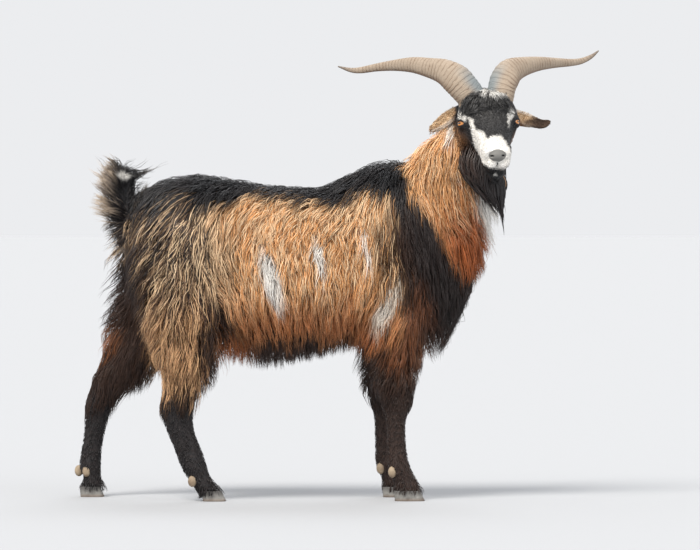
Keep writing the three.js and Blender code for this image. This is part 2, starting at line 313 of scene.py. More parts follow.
class Volume:
    """A distance field on a box grid whose lines may stand closer together in places."""

    def __init__(self, lines: Sequence[Array], far: float = 70.0) -> None:
        """Starts empty, with grid lines along x, y and z and the distance to store where nothing is near."""
        self.lines = [np.asarray(a, float) for a in lines]
        self.value = np.full([len(a) for a in self.lines], far, np.float32)

    def mix(self, shape: Shape, soft: float, cut: bool = False, head: bool = False, margin: float = 60.0) -> None:
        """Joins a shape to the field, or cuts it out.

        Args:
            shape: What to add.
            soft: How wide the rounded seam is.
            cut: Takes the shape away instead.
            head: The shape is given in the head's frame.
            margin: How far around the shape the field is worked out.
        """
        low, high = shape.reach(margin)
        if head:
            corners = from_head(list(itertools.product(*zip(low, high))))
            low, high = corners.min(axis=0), corners.max(axis=0)
        window = tuple(slice(*np.searchsorted(a, (lo, hi))) for a, lo, hi in zip(self.lines, low, high))
        if any(w.start >= w.stop for w in window):
            return
        grid = np.stack(np.meshgrid(*(a[w] for a, w in zip(self.lines, window)), indexing="ij"), axis=-1)
        found = shape.distance(to_head(grid) if head else grid).astype(np.float32)
        old = self.value[window]
        self.value[window] = -smooth_min(-old, found, soft) if cut else smooth_min(old, found, soft)

    def sample(self, p: Array) -> Array:
        """Reads the field at points.

        Args:
            p: The points.

        Returns:
            The distance at each.
        """
        cell, part = [], []
        for k, line in enumerate(self.lines):
            i = np.clip(np.searchsorted(line, p[..., k]) - 1, 0, len(line) - 2)
            cell.append(i)
            part.append(np.clip((p[..., k] - line[i]) / (line[i + 1] - line[i]), 0, 1))
        total = np.zeros(p.shape[:-1])
        for c in itertools.product((0, 1), repeat=3):
            weight = np.prod([f if on else 1 - f for f, on in zip(part, c)], axis=0)
            total += weight * self.value[cell[0] + c[0], cell[1] + c[1], cell[2] + c[2]]
        return total

    def slope(self, p: Array, step: float = 4.0) -> Array:
        """Finds the way straight out of the surface.

        Args:
            p: The points.
            step: How far from them the field is read.

        Returns:
            A direction at each.
        """
        total = np.zeros(p.shape)
        for corner in ((1, -1, -1), (-1, -1, 1), (-1, 1, -1), (1, 1, 1)):
            way = np.array(corner, float)
            total += way * self.sample(p + way * step)[..., None]
        return unit(total)

    def surface(self) -> tuple[Array, Array]:
        """Wraps the field's zero level in a mesh of four-sided faces.

        Returns:
            The vertices and the faces.
        """
        inside = self.value < 0
        cells_shape = np.array(inside.shape) - 1
        corners = list(itertools.product((0, 1), repeat=3))

        def shifted(a: Array, c: Sequence[int]) -> Array:
            """Gives a grid's values at one corner of each cell."""
            return a[tuple(slice(o, o + n) for o, n in zip(c, cells_shape))]

        count = sum(shifted(inside, c).astype(np.uint8) for c in corners)
        cells = np.argwhere((count > 0) & (count < 8))
        index = np.full(cells_shape, -1, np.int32)
        index[tuple(cells.T)] = np.arange(len(cells))
        level = np.stack([shifted(self.value, c)[tuple(cells.T)] for c in corners], axis=1)
        place, number = np.zeros((len(cells), 3)), np.zeros(len(cells))
        for i, j in itertools.combinations(range(8), 2):
            a, b = np.array(corners[i], float), np.array(corners[j], float)
            if np.abs(a - b).sum() != 1:
                continue
            crossing = (level[:, i] < 0) != (level[:, j] < 0)
            t = level[crossing, i] / (level[crossing, i] - level[crossing, j])
            place[crossing] += a + t[:, None] * (b - a)
            number[crossing] += 1
        place /= number[:, None]
        vertices = np.empty_like(place)
        for k, line in enumerate(self.lines):
            i = cells[:, k]
            vertices[:, k] = line[i] + place[:, k] * (line[i + 1] - line[i])
        faces = []
        for k in range(3):
            u, v = (k + 1) % 3, (k + 2) % 3
            low, high = [slice(1, -1)] * 3, [slice(1, -1)] * 3
            low[k], high[k] = slice(0, -1), slice(1, None)
            before, after = inside[tuple(low)], inside[tuple(high)]
            for starts in (True, False):
                at = np.argwhere((before != after) & (before == starts))
                at[:, [u, v]] += 1
                ring = []
                for du, dv in ((-1, -1), (0, -1), (0, 0), (-1, 0)):
                    c = at.copy()
                    c[:, u] += du
                    c[:, v] += dv
                    ring.append(index[tuple(c.T)])
                quad = np.stack(ring, axis=1)
                faces.append(quad if starts else quad[:, ::-1])
        quads = np.vstack(faces)
        return vertices, quads[(quads >= 0).all(axis=1)]


# ---- meshes


def make_mesh(name: str, vertices: Array, faces: Sequence[Array], colours: dict[str, Array] | None = None,
              places: Array | None = None) -> bpy.types.Object:
    """Makes a smooth mesh object from arrays.

    Args:
        name: The object's name.
        vertices: Points in the goat's axes, in millimetres.
        faces: Arrays of vertex numbers, each with one number of corners.
        colours: Named vertex colours, four numbers a vertex.
        places: Places on the unwrapped skin, two numbers a vertex.

    Returns:
        The new object.
    """
    mesh = bpy.data.meshes.new(name)
    mesh.vertices.add(len(vertices))
    mesh.vertices.foreach_set("co", ((vertices - ORIGIN) * METRES).astype(np.float32).ravel())
    corners = np.concatenate([f.ravel() for f in faces]).astype(np.int32)
    totals = np.concatenate([np.full(len(f), f.shape[1], np.int32) for f in faces])
    mesh.loops.add(len(corners))
    mesh.loops.foreach_set("vertex_index", corners)
    mesh.polygons.add(len(totals))
    mesh.polygons.foreach_set("loop_start", np.concatenate([[0], np.cumsum(totals)[:-1]]).astype(np.int32))
    mesh.polygons.foreach_set("use_smooth", np.ones(len(totals), bool))
    mesh.update(calc_edges=True)
    for key, values in (colours or {}).items():
        layer = mesh.attributes.new(key, "FLOAT_COLOR", "POINT")
        layer.data.foreach_set("color", values.astype(np.float32).ravel())
    if places is not None:
        mesh.uv_layers.new(name="OFBake").data.foreach_set("uv", places[corners].astype(np.float32).ravel())
    mesh.validate()
    thing = bpy.data.objects.new(name, mesh)
    bpy.context.scene.collection.objects.link(thing)
    return thing


def dress(piece: bpy.types.Object, material: bpy.types.Material, slot: str, *nodes: str) -> None:
    """Gives a piece its material and its place on the one body, and hides the nodes that it stands for.

    Args:
        piece: The piece.
        material: Its material.
        slot: Not used.
        *nodes: The nodes that it stands for.
    """
    piece.data.materials.append(material)
    if nodes:
        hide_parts(*nodes)
    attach(piece, "root")


def tube(rings: Array) -> Array:
    """Gives the four-sided faces between rings, which are rows of vertex numbers."""
    a, b = rings[:-1], rings[1:]
    return np.stack([a, np.roll(a, -1, 1), np.roll(b, -1, 1), b], axis=-1).reshape(-1, 4)


def capped(points: Array) -> Shell:
    """Closes a tube of rings with a fan at each end.

    Args:
        points: Rings by sides by 3.

    Returns:
        The vertices and the faces.
    """
    rings, sides = points.shape[:2]
    number = np.arange(rings * sides).reshape(rings, sides)
    start, end = rings * sides, rings * sides + 1
    vertices = np.vstack([points.reshape(-1, 3), points[0].mean(axis=0), points[-1].mean(axis=0)])
    first, last = number[0], number[-1]
    caps = np.vstack([
        np.stack([np.full(sides, start), np.roll(first, -1), first], axis=1),
        np.stack([np.full(sides, end), last, np.roll(last, -1)], axis=1),
    ])
    return vertices, [tube(number), caps]


def globe(rings: int, sides: int, cap: float) -> tuple[Array, Array]:
    """Makes a ball of radius one.

    Args:
        rings: How many rings of points.
        sides: Points on each.
        cap: The angle left open at both ends.

    Returns:
        Each ring's angle from the top, and the points, rings by sides by 3.
    """
    polar = np.linspace(cap, math.pi - cap, rings)[:, None]
    turns = around(sides)[None]
    return polar, columns(np.sin(polar) * np.cos(turns), np.sin(polar) * np.sin(turns), np.cos(polar))


# ---- shader building


def plug(slot: bpy.types.NodeSocket, value: object) -> None:
    """Links a wire or a socket to a slot, or sets the slot's own value.

    Args:
        slot: The slot.
        value: A wire, a socket, a number or a colour.
    """
    if isinstance(value, Wire):
        value = value.socket
    if isinstance(value, bpy.types.NodeSocket):
        slot.id_data.links.new(value, slot)
    else:
        slot.default_value = (*value, 1.0) if slot.type == "RGBA" else value


def operator(operation: str, flipped: bool = False) -> Callable[[Wire, Wire | float], Wire]:
    """Makes a Python operator of a Math operation; flipped puts the other value first."""
    return lambda this, other: this.maths(operation, *((other, this) if flipped else (this, other)))


class Wire:
    """A shader socket that takes part in Python expressions on values."""

    def __init__(self, socket: bpy.types.NodeSocket) -> None:
        """Holds a socket."""
        self.socket = socket

    def maths(self, operation: str, *values: Wire | float) -> Wire:
        """Adds a Math node.

        Args:
            operation: What it does.
            *values: What it works on.

        Returns:
            Its result.
        """
        node = self.socket.id_data.nodes.new("ShaderNodeMath")
        node.operation = operation
        for slot, value in zip(node.inputs, values):
            plug(slot, value)
        return Wire(node.outputs[0])

    __add__, __radd__ = operator("ADD"), operator("ADD", True)
    __sub__, __rsub__ = operator("SUBTRACT"), operator("SUBTRACT", True)
    __mul__, __rmul__ = operator("MULTIPLY"), operator("MULTIPLY", True)
    __pow__, larger = operator("POWER"), operator("MAXIMUM")

    def clamp(self) -> Wire:
        """Keeps the value between 0 and 1."""
        return self.maths("MINIMUM", self.maths("MAXIMUM", self, 0.0), 1.0)

    def absolute(self) -> Wire:
        """Drops the sign."""
        return self.maths("ABSOLUTE", self)

    def sine(self) -> Wire:
        """Takes the sine."""
        return self.maths("SINE", self)


class Paint:
    """A material under construction."""

    def __init__(self, name: str) -> None:
        """Starts a material with one surface shader.

        Args:
            name: The material's name.
        """
        self.material = bpy.data.materials.new(name)
        self.material.use_nodes = True
        self.tree = self.material.node_tree
        self.surface = self.tree.nodes["Principled BSDF"]

    def node(self, kind: str, settings: dict[str, object] | None = None, **sockets: object) -> bpy.types.Node:
        """Adds a node.

        Args:
            kind: The node's type after "ShaderNode".
            settings: Properties set before its sockets.
            **sockets: Values or wires, with underscores for spaces; a number after "in" names a socket by place.

        Returns:
            The node.
        """
        node = self.tree.nodes.new("ShaderNode" + kind)
        for key, value in (settings or {}).items():
            setattr(node, key, value)
        for key, value in sockets.items():
            plug(node.inputs[int(key[2:]) if key[2:].isdigit() else key.replace("_", " ")], value)
        return node

    def wire(self, kind: str, output: str | int = 0, settings: dict[str, object] | None = None,
             **sockets: object) -> Wire:
        """Adds a node and gives one of its outputs."""
        return Wire(self.node(kind, settings, **sockets).outputs[output])

    def mark(self, name: str) -> tuple[Wire, ...]:
        """Reads a vertex colour.

        Args:
            name: Its name.

        Returns:
            Its four numbers.
        """
        read = self.node("Attribute", {"attribute_name": name})
        parts = self.node("SeparateColor", Color=read.outputs["Color"])
        return tuple(Wire(socket) for socket in (*parts.outputs, read.outputs["Alpha"]))

    def blend(self, share: Wire | float, a: object, b: object, way: str = "MIX") -> Wire:
        """Mixes two colours."""
        settings = {"data_type": "RGBA", "blend_type": way, "clamp_factor": True}
        return self.wire("Mix", 2, settings, in0=share, in6=a, in7=b)

    def noise(self, scale: float, detail: float = 3.0, vector: object = None) -> Wire:
        """Gives a cloudy value between 0 and 1 on the object's own coordinates."""
        place = vector or self.wire("TexCoord", "Object")
        return self.wire("TexNoise", "Fac", Vector=place, Scale=scale, Detail=detail)

    def finish(self, colour: object, roughness: object, specular: float = 0.5, height: Wire | None = None,
               depth: float = 0.001, strength: float = 0.5, **constants: float) -> bpy.types.Material:
        """Connects the surface.

        Args:
            colour: The base colour.
            roughness: The roughness.
            specular: The specular level.
            height: A height for bumps.
            depth: How deep the bumps are, in metres.
            strength: How strongly the bumps show.
            **constants: Other sockets' values, with underscores for spaces.

        Returns:
            The material.
        """
        constants = {"Base_Color": colour, "Roughness": roughness, "Specular_IOR_Level": specular, **constants}
        for key, value in constants.items():
            plug(self.surface.inputs[key.replace("_", " ")], value)
        if height is not None:
            bump = self.node("Bump", Height=height, Distance=depth, Strength=strength)
            plug(self.surface.inputs["Normal"], bump.outputs["Normal"])
        return self.material


# ---- markings


def side_chart(p: Array) -> tuple[Array, Array]:
    """Flattens points onto an upright chart, millimetres forward and up, as the goat's right side is seen."""
    x, y, z = np.moveaxis(p - MIDDLE, -1, 0)
    return MIDDLE[0] + x / (1 + y / FAR), MIDDLE[2] + (z + LEAN * y) / (1 + y / FAR)


def right_side(p: Array) -> Array:
    """Puts points of both sides on the goat's right."""
    return p * [1, 0, 1] - np.abs(p) * [0, 1, 0]


def redraw(luck: Array, factor: float) -> Array:
    """Makes another random number between 0 and 1 out of one."""
    return np.mod(luck * factor, 1)


def patch(u: Array, v: Array, outline: Rows, soft: float) -> Array:
    """Fills an outline on the chart.

    Args:
        u: Millimetres forward.
        v: Millimetres up.
        outline: The outline's corners in order.
        soft: How wide its soft edge is.

    Returns:
        1 well inside and 0 well outside.
    """
    nearest = np.full(np.shape(u), 1e9)
    inside = np.zeros(np.shape(u), bool)
    ends = np.array(outline, float)
    for (au, av), (bu, bv) in zip(ends, np.roll(ends, -1, axis=0)):
        t = np.clip(((u - au) * (bu - au) + (v - av) * (bv - av)) / ((bu - au) ** 2 + (bv - av) ** 2), 0, 1)
        nearest = np.minimum(nearest, np.hypot(u - au - t * (bu - au), v - av - t * (bv - av)))
        inside ^= ((av > v) != (bv > v)) & (u < (bu - au) * (v - av) / (bv - av + 1e-9) + au)
    return ramp(np.where(inside, nearest, -nearest), -soft, soft)


def spot(u: Array, v: Array, at: Sequence[float], size: Sequence[float], lean: float = 0.0,
         soft: float = 0.35) -> Array:
    """Fills an ellipse on the chart.

    Args:
        u: Millimetres forward.
        v: Millimetres up.
        at: Its middle.
        size: Its half width and half height.
        lean: Degrees that its top leans forward.
        soft: How wide its soft edge is, as a share of its size.

    Returns:
        1 well inside and 0 well outside.
    """
    a = math.radians(lean)
    du, dv = u - at[0], v - at[1]
    across, along = du * math.cos(a) - dv * math.sin(a), du * math.sin(a) + dv * math.cos(a)
    return 1 - ramp(np.hypot(across / size[0], along / size[1]), 1 - soft, 1 + soft)


class Part(Enum):
    """The kinds of ground that the coat grows on."""

    BODY = "body"
    NECK = "neck"
    TAIL = "tail"
    HEAD = "head"
    SHANK = "shank"
    BEARD = "beard"


@dataclass(frozen=True)
class Markings:
    """The goat's pattern, read by the skin and by every tuft of the coat; places are chart millimetres."""

    flank: Rows = ((-225, 679), (-167, 723), (-93, 735), (0, 725), (78, 725), (152, 742), (212, 750), (228, 703),
                   (238, 635), (250, 561), (252, 488), (255, 414), (240, 380), (206, 394), (122, 416), (0, 412),
                   (-93, 407), (-150, 419), (-195, 488), (-215, 581))
    neck: Rows = ((245, 831), (274, 860), (318, 894), (358, 919), (397, 880), (416, 782), (441, 720), (451, 635),
                  (436, 558), (412, 560), (372, 600), (338, 655), (306, 708), (272, 765))
    throat: Rows = ((426, 742), (470, 757), (505, 720), (505, 610), (475, 556), (458, 581), (453, 635), (439, 688))
    thigh: Rows = ((-392, 698), (-304, 742), (-211, 698), (-181, 581), (-162, 439), (-181, 311), (-216, 247),
                   (-343, 262), (-368, 360), (-407, 488), (-416, 610))
    blaze: Rows = ((412, 936), (424, 929), (431, 906), (451, 897), (461, 882), (470, 889), (490, 891), (505, 875),
                   (514, 855), (522, 835), (519, 821), (502, 808), (466, 811), (443, 823), (434, 845), (426, 870),
                   (421, 899))
    rust_blots: Rows = ((-160, 362, 36, 46, 0.9), (-478, 382, 24, 34, 0.5), (168, 402, 38, 38, 0.9),
                        (250, 400, 50, 85, 0.38), (300, 470, 30, 60, 0.25), (322, 352, 26, 22, 0.6))

    def read(self, p: Array, luck: Array, part: Part) -> Array:
        """Gives the pattern at points.

        Args:
            p: Points in the goat's axes.
            luck: A random number between 0 and 1 for each.
            part: The kind of ground.

        Returns:
            Four shares for each point: tan, rust, white and cream.
        """
        readers = {Part.BODY: self._body, Part.NECK: self._body, Part.HEAD: self._head, Part.TAIL: self._tail,
                   Part.BEARD: self._beard}
        return readers[part](p, luck) if part in readers else np.zeros((len(p), 4))

    def warm(self, p: Array, luck: Array, part: Part) -> Array:
        """Gives how brown the black hair is.

        Args:
            p: Points in the goat's axes.
            luck: A random number between 0 and 1 for each.
            part: The kind of ground.

        Returns:
            The share of brown at each.
        """
        if part is Part.SHANK:
            return 0.1 + 0.2 * luck + 0.5 * ramp(p[:, 0], -50, 50) + 0.15 * ramp(p[:, 2], 190, 270)
        if part is Part.HEAD:
            q = to_head(p)
            return np.maximum(0.9 * ramp(np.abs(q[:, 1]), 40, 62) * ramp(-q[:, 2], -10, 30), 0.08)
        if part is Part.BEARD:
            return 0.1 + 0.2 * luck + 0.7 * ramp(p[:, 2], 770, 850)
        u, v = side_chart(right_side(p))
        dark = patch(u, v, ((200, 860), (300, 860), (420, 520), (420, 440), (310, 440), (262, 640)), 25)
        low, front = ramp(560 - v, 0, 160), ramp(u, 150, 200) * ramp(740 - v, 0, 60)
        rear = 0.5 * ramp(-u, 150, 350) * ramp(720 - v, 0, 100)
        return np.clip(np.maximum(low, front) * (1 - 0.7 * dark) + rear + 0.2 * luck, 0, 1)

    def nostril(self, q: Array) -> Array:
        """Gives where the nostrils are, painted dark as shade in their slits.

        Args:
            q: Points in the head's frame.

        Returns:
            The share of nostril at each.
        """
        found = np.zeros(len(q))
        for side in SIDES.values():
            local = (q - [163, 15.5 * side, -3]) @ turn(-20 * side, 0, 30 * side)
            found = np.maximum(found, 1 - ramp(np.linalg.norm(local / [14, 6.0, 2.8], axis=1), 0.75, 1.25))
        return found

    def pad(self, q: Array) -> Array:
        """Gives where the grey nose pad is.

        Args:
            q: Points in the head's frame.

        Returns:
            The share of pad at each.
        """
        wide = 21.5 - 0.25 * np.maximum(-4 - q[:, 2], 0)
        near = np.sqrt(((q[:, 0] - 157) / 15) ** 2 + (q[:, 1] / wide) ** 2 + ((q[:, 2] + 4) / 15.5) ** 2)
        return (1 - ramp(near, 0.95, 1.04)) * ramp(q[:, 2], -21, -18) * (1 - self.nostril(q))

    def bare(self, p: Array) -> Array:
        """Gives how bare the skin is: nose pad, nostrils, the cleft below, and the eyelids' rims.

        Args:
            p: Points in the goat's axes.

        Returns:
            The share of bare skin at each.
        """
        q = to_head(p)
        cleft = 1 - ramp(np.linalg.norm((q - [168, 0, -27]) / [12, 3, 14], axis=1), 0.8, 1.1)
        bald = np.maximum.reduce([self.pad(q), self.nostril(q), cleft])
        for s in SIDES.values():
            local = (q - eye_centre(s)) @ eye_frame(s)
            ring = np.hypot((local[:, 0] - 1) / EYE_RADIUS, local[:, 1] / 10.0)
            bald = np.maximum(bald, (1 - ramp(ring, 0.9, 1.1)) * ramp(local[:, 2], 2, 8))
        return bald

    def _body(self, p: Array, luck: Array) -> Array:
        """Colours the trunk, the neck and the upper legs.

        Args:
            p: Points in the goat's axes.
            luck: A random number between 0 and 1 for each.

        Returns:
            The four shares at each.
        """
        u, v = side_chart(right_side(p))
        second = redraw(luck, 7.3) - 0.5
        w, h = u + 3 * wander(p, 60, 8) + 5 * (luck - 0.5), v + 12 * second
        u, v = u + 8 * wander(p, 150, 3) + 14 * (luck - 0.5), v + 8 * wander(p, 110, 4) + 22 * second
        flank, neck = patch(u, v, self.flank, 13), patch(u, v, self.neck, 13)
        low = ramp(545 - v, 0, 120)
        tan = np.maximum(flank, neck)
        rust = flank * (0.06 + 0.75 * low) + neck * (0.95 * ramp(775 - v, 0, 160) + 0.5 * ramp(u, 350, 420))
        for x, z, wide, tall, strength in self.rust_blots:
            blot = spot(u, v, (x, z), (wide, tall), soft=0.6) * strength * (redraw(luck, 3.1) < 0.8)
            tan, rust = np.maximum(tan, 0.7 * blot * strength), np.maximum(rust, blot)
        pale = redraw(luck, 13.7)
        cream = flank * (pale > 0.55 - 0.2 * ramp(v, 620, 700)) * (0.8 - 0.72 * low)
        cream = cream + neck * (pale > 0.6) * 0.6 * ramp(v, 620, 740)
        near = np.maximum(spot(u, v, (228, 560), (38, 160), -6, 0.5), 0.7 * spot(u, v, (-195, 560), (44, 150), 4, 0.6))
        edge = near * (redraw(luck, 17.9) < 0.6)
        tan, cream, rust = tan * (1 - 0.9 * edge), cream * (1 - edge), rust * (1 - edge)
        # painted shade: fewer pale strands, so a darker coat, in front of the gaskin and at the rear of the thigh
        shade = np.maximum(spot(u, v, (-196, 360), (56, 120), 0, 0.5), spot(u, v, (-420, 520), (40, 95), 0, 0.5))
        bridge = 0.35 * spot(u, v, (-205, 640), (52, 110), 0, 0.6)
        share = (0.26 + bridge + 0.2 * ramp(650 - v, 0, 90) + 0.24 * ramp(500 - v, 0, 110)) * (1 - 0.95 * shade)
        share = share - 0.15 * shade
        mixed = np.clip((share + 0.28 - pale) / 0.5, 0, 1) ** 1.3
        thigh = patch(u, v, self.thigh, 22) * mixed
        gold = ramp(560 - v, 0, 160)
        tan = np.maximum(tan, thigh * (0.5 + 0.4 * gold))
        rust = np.maximum(rust, thigh * gold * 0.3 * (redraw(luck, 31.3) > 0.5))
        cream = np.maximum(cream, thigh * mixed * (0.8 - 0.45 * gold))
        rear = spot(u, v, (-446, 645), (28, 56), 0, 0.5) * (pale < 0.5)
        tan, cream = np.maximum(tan, 0.5 * rear), np.maximum(cream, 0.6 * rear)
        elbow = spot(w, h, (212, 468), (19, 54), 28, 0.5)
        tan, cream = np.maximum(tan, 0.9 * elbow), np.maximum(cream, 0.95 * elbow)
        white = np.maximum.reduce([
            spot(w, h, (-71, 539), (21, 72), -17), 0.95 * spot(w, h, (47, 588), (12, 50), -13), 0.75 * elbow,
            0.8 * spot(w, h, (162, 610), (8, 40), -20), patch(w, h, self.throat, 10),
            0.8 * spot(w, h, (366, 884), (9, 24), -20), 0.4 * spot(w, h, (390, 782), (8, 13), -25)])
        return columns(tan, np.clip(rust, 0, 1), white, cream)

    def _head(self, p: Array, luck: Array) -> Array:
        """Colours the face and the ears.

        Args:
            p: Points in the goat's axes.
            luck: A random number between 0 and 1 for each.

        Returns:
            The four shares at each.
        """
        q = to_head(p)
        wide = np.interp(q[:, 0], [row[0] for row in SKULL], [row[3] for row in SKULL])
        u, v = side_chart(p)
        u = u + 4 * (luck - 0.5) + 1.2 * wander(p, 34, 5)
        v = v + 5.5 * (redraw(luck, 7.3) - 0.5)
        front = ramp(q[:, 0], -75, -50)
        under = ramp(-q[:, 2], 20, 32) * ramp(q[:, 1], 0, 12)
        cheek = np.maximum(ramp(q[:, 1] / wide, 0.74, 0.88), under) * ramp(102 - q[:, 0] + 6 * (luck - 0.5), -9, 9)
        near = ramp(-q[:, 2], 40, 50) * ramp(98 - q[:, 0], -9, 9)
        brow = ramp(q[:, 0], -24, -12) * ramp(q[:, 2], 4, 12)
        white = front * np.maximum.reduce([
            patch(u, v, self.blaze, 3) * (1 - cheek) * (1 - near), spot(u, v, (472, 1001), (33, 14), 0),
            spot(u, v, (397, 936), (14, 9.5), 60) * ramp(q[:, 0], -34, -22),
            # painted sheen: a little grey-white on the strands at the top of the forehead
            (0.02 + 0.08 * luck) * ramp(q[:, 2], 10, 50),
            spot(u, v, (516, 945), (8.5, 16), 8) * brow, 0.8 * spot(u, v, (514.5, 914), (4, 17), -10) * (1 - cheek),
            0.8 * spot(u, v, (448, 790), (6, 7)), 0.7 * spot(u, v, (478, 794), (5, 4)),
            0.7 * spot(u, v, (504, 792), (6, 9), 20)])
        ear = ramp(np.abs(q[:, 1]), 70, 80) * ramp(-q[:, 0], 46, 56)
        tip = ear * ramp(q[:, 1], 105, 135)
        lower = ear * ramp(q[:, 1], 60, 70) * ramp(-(q[:, 2] + 22 + 0.12 * (q[:, 1] - 80)), -3, 5)
        tan = np.maximum(0.6 * ear * (1 - tip), 0.2 * ramp(np.abs(q[:, 1]), 44, 66) * ramp(-q[:, 2], 10, 40))
        cream = ear * (luck > 0.35) * 0.75 * (1 - 0.9 * tip)
        rim = ear * ramp(ear_rim(q), 0.5, 0.8)
        white = np.maximum(white, 0.6 * rim * (luck > 0.25) * (1 - tip))
        return columns(tan, 0.4 * tan * (1 - ear), white, cream) * (1 - 0.85 * lower)[..., None]

    def _tail(self, p: Array, luck: Array) -> Array:
        """Colours the tail: black core, grey-tan spread, a white fleck in front.

        Args:
            p: Points in the goat's axes.
            luck: A random number between 0 and 1 for each.

        Returns:
            The four shares at each.
        """
        from_core = np.hypot(p[:, 0] + 430 - 0.1 * (p[:, 2] - 740), p[:, 1])
        fringe = ramp(from_core, 26, 66) * (luck < 0.8) * (1 - 0.85 * ramp(p[:, 0], -445, -420))
        u, v = side_chart(p)
        fleck = spot(u, v, (-432, 792), (17, 9), 10) * ramp(-p[:, 1], 2, 10)
        return columns(0.2 * fringe, 0.0, np.maximum(fleck, 0.24 * fringe), 0.36 * fringe * (luck > 0.3))

    def _beard(self, p: Array, luck: Array) -> Array:
        """Colours the beard: black with a few tan strands in front."""
        strand = spot(*side_chart(p), (508, 785), (12, 30), 0, 0.6) * (luck > 0.72)
        return columns(0.6 * strand, 0.3 * strand, 0.0, 0.3 * strand)


# ---- finishes


@dataclass(frozen=True)
class CoatFinish:
    """Hair and hairy skin: black, with tan, rust, cream and white where the markings say, and painted shade towards
    each tuft's root.
    """

    name: str
    # dark: black hair; its blue tint is a painted reflection of the sky
    dark: Colour = (0.010, 0.011, 0.0135)
    brown: Colour = (0.04, 0.018, 0.01)
    tan: Colour = (0.78, 0.40, 0.16)
    rust: Colour = (0.40, 0.11, 0.028)
    cream: Colour = (0.88, 0.66, 0.42)
    white: Colour = (0.9, 0.87, 0.82)
    pad: Colour = (0.16, 0.155, 0.145)
    roughness: float = 0.42
    skin_roughness: float = 0.62
    skin: bool = False

    def material(self) -> bpy.types.Material:
        """Builds the material.

        Returns:
            The material, which reads the "marks" and "hair" vertex colours.
        """
        paint = Paint(self.name)
        tan, rust, white, cream = paint.mark("marks")
        luck, along, warm, bare = paint.mark("hair")
        base = self.dark
        for share, colour in ((warm, self.brown), (tan, self.tan), (rust, self.rust), (cream, self.cream),
                              (white, self.white)):
            base = paint.blend(share, base, colour)
        # painted shade: each tuft darker towards its root, deep in the coat, and haired skin darker than bare skin;
        # luck adds random tone and the painted shading across each tuft
        light = (0.72 + 0.5 * luck) * (0.78 + 0.22 * along ** 0.6)
        shade = paint.wire("CombineColor", Red=light, Green=light, Blue=light)
        colour = paint.blend(1.0, base, shade, "MULTIPLY")
        if not self.skin:
            return paint.finish(colour, self.roughness, 0.5)
        colour = paint.blend(bare, colour, self.pad)
        grain = paint.noise(420.0, 4.0)
        return paint.finish(colour, self.skin_roughness, 0.35, height=grain, depth=0.0008, strength=0.5)


@dataclass(frozen=True)
class HornFinish:
    """Dull beige keratin with growth rings, dark grooves, a grey-blue base and a darker underside, partly real colour
    and partly painted shade.
    """

    pale: Colour = (0.37, 0.295, 0.225)
    brown: Colour = (0.15, 0.085, 0.05)
    blue: Colour = (0.19, 0.21, 0.215)
    dull: Colour = (0.29, 0.225, 0.165)
    line: Colour = (0.25, 0.18, 0.125)
    tip: Colour = (0.13, 0.105, 0.09)

    def material(self) -> bpy.types.Material:
        """Builds the material.

        Returns:
            The material, which reads the "grain" vertex colour: length, inner base, tip share and underside, whose
            darkening is partly real colour and partly painted shade.
        """
        paint = Paint("horn_keratin")
        length, inner, tip, under = paint.mark("grain")
        cloud = paint.noise(38.0, 4.0)
        fine = paint.noise(160.0, 5.0)
        rings = ((length * 640.0 + cloud * 8.0 + fine * 2.5).sine() * 0.5 + 0.5) ** 9.0
        hair_lines = (length * 2100.0 + cloud * 14.0 + fine * 6.0).sine() * 0.5 + 0.5
        worn = (cloud * 3.2 - 1.1).clamp()
        groove = rings * worn * (1.0 - tip)
        colour = paint.blend((fine * 1.5 - 0.35).clamp(), self.pale, self.dull)
        colour = paint.blend(hair_lines * worn * 0.45, colour, self.line)
        colour = paint.blend(groove * 0.85, colour, self.brown)
        colour = paint.blend(inner, colour, self.blue)
        # painted shade, partly real colour: the underside darker brown
        colour = paint.blend(under * 0.8, colour, self.brown)
        colour = paint.blend(tip * 0.7, colour, self.tip)
        height = rings * -1.0 + hair_lines * 0.3 + fine * 0.3
        return paint.finish(colour, cloud * 0.2 + 0.5, 0.35, height=height, depth=0.0012, strength=0.8)


@dataclass(frozen=True)
class HoofFinish:
    """Dull grey-beige horn with fine growth lines around the hoof."""

    name: str = "hoof_horn"
    pale: Colour = (0.27, 0.26, 0.24)
    dark: Colour = (0.06, 0.055, 0.052)
    top: float = 0.75
    soiled: Colour = (0.22, 0.14, 0.09)

    def material(self) -> bpy.types.Material:
        """Builds the material.

        Returns:
            The material, which darkens towards the top and is soiled at the sole.
        """
        paint = Paint(self.name)
        height = paint.wire("SeparateXYZ", "Z", Vector=paint.wire("TexCoord", "Object"))
        cloud = paint.noise(55.0, 4.0)
        lines = (height * 2400.0 + cloud * 7.0).sine() * 0.5 + 0.5
        colour = paint.blend((cloud * 2.6 - 0.9).clamp() * 0.75 + lines * 0.12, self.pale, self.dark)
        colour = paint.blend((height * 70.0 - 0.7).clamp() * self.top, colour, self.dark)
        colour = paint.blend((1.0 - height * 120.0).larger(0.0) * 0.6, colour, self.soiled)
        return paint.finish(colour, cloud * 0.25 + 0.45, 0.4, height=lines * 0.5 + cloud, depth=0.0006, strength=0.6)


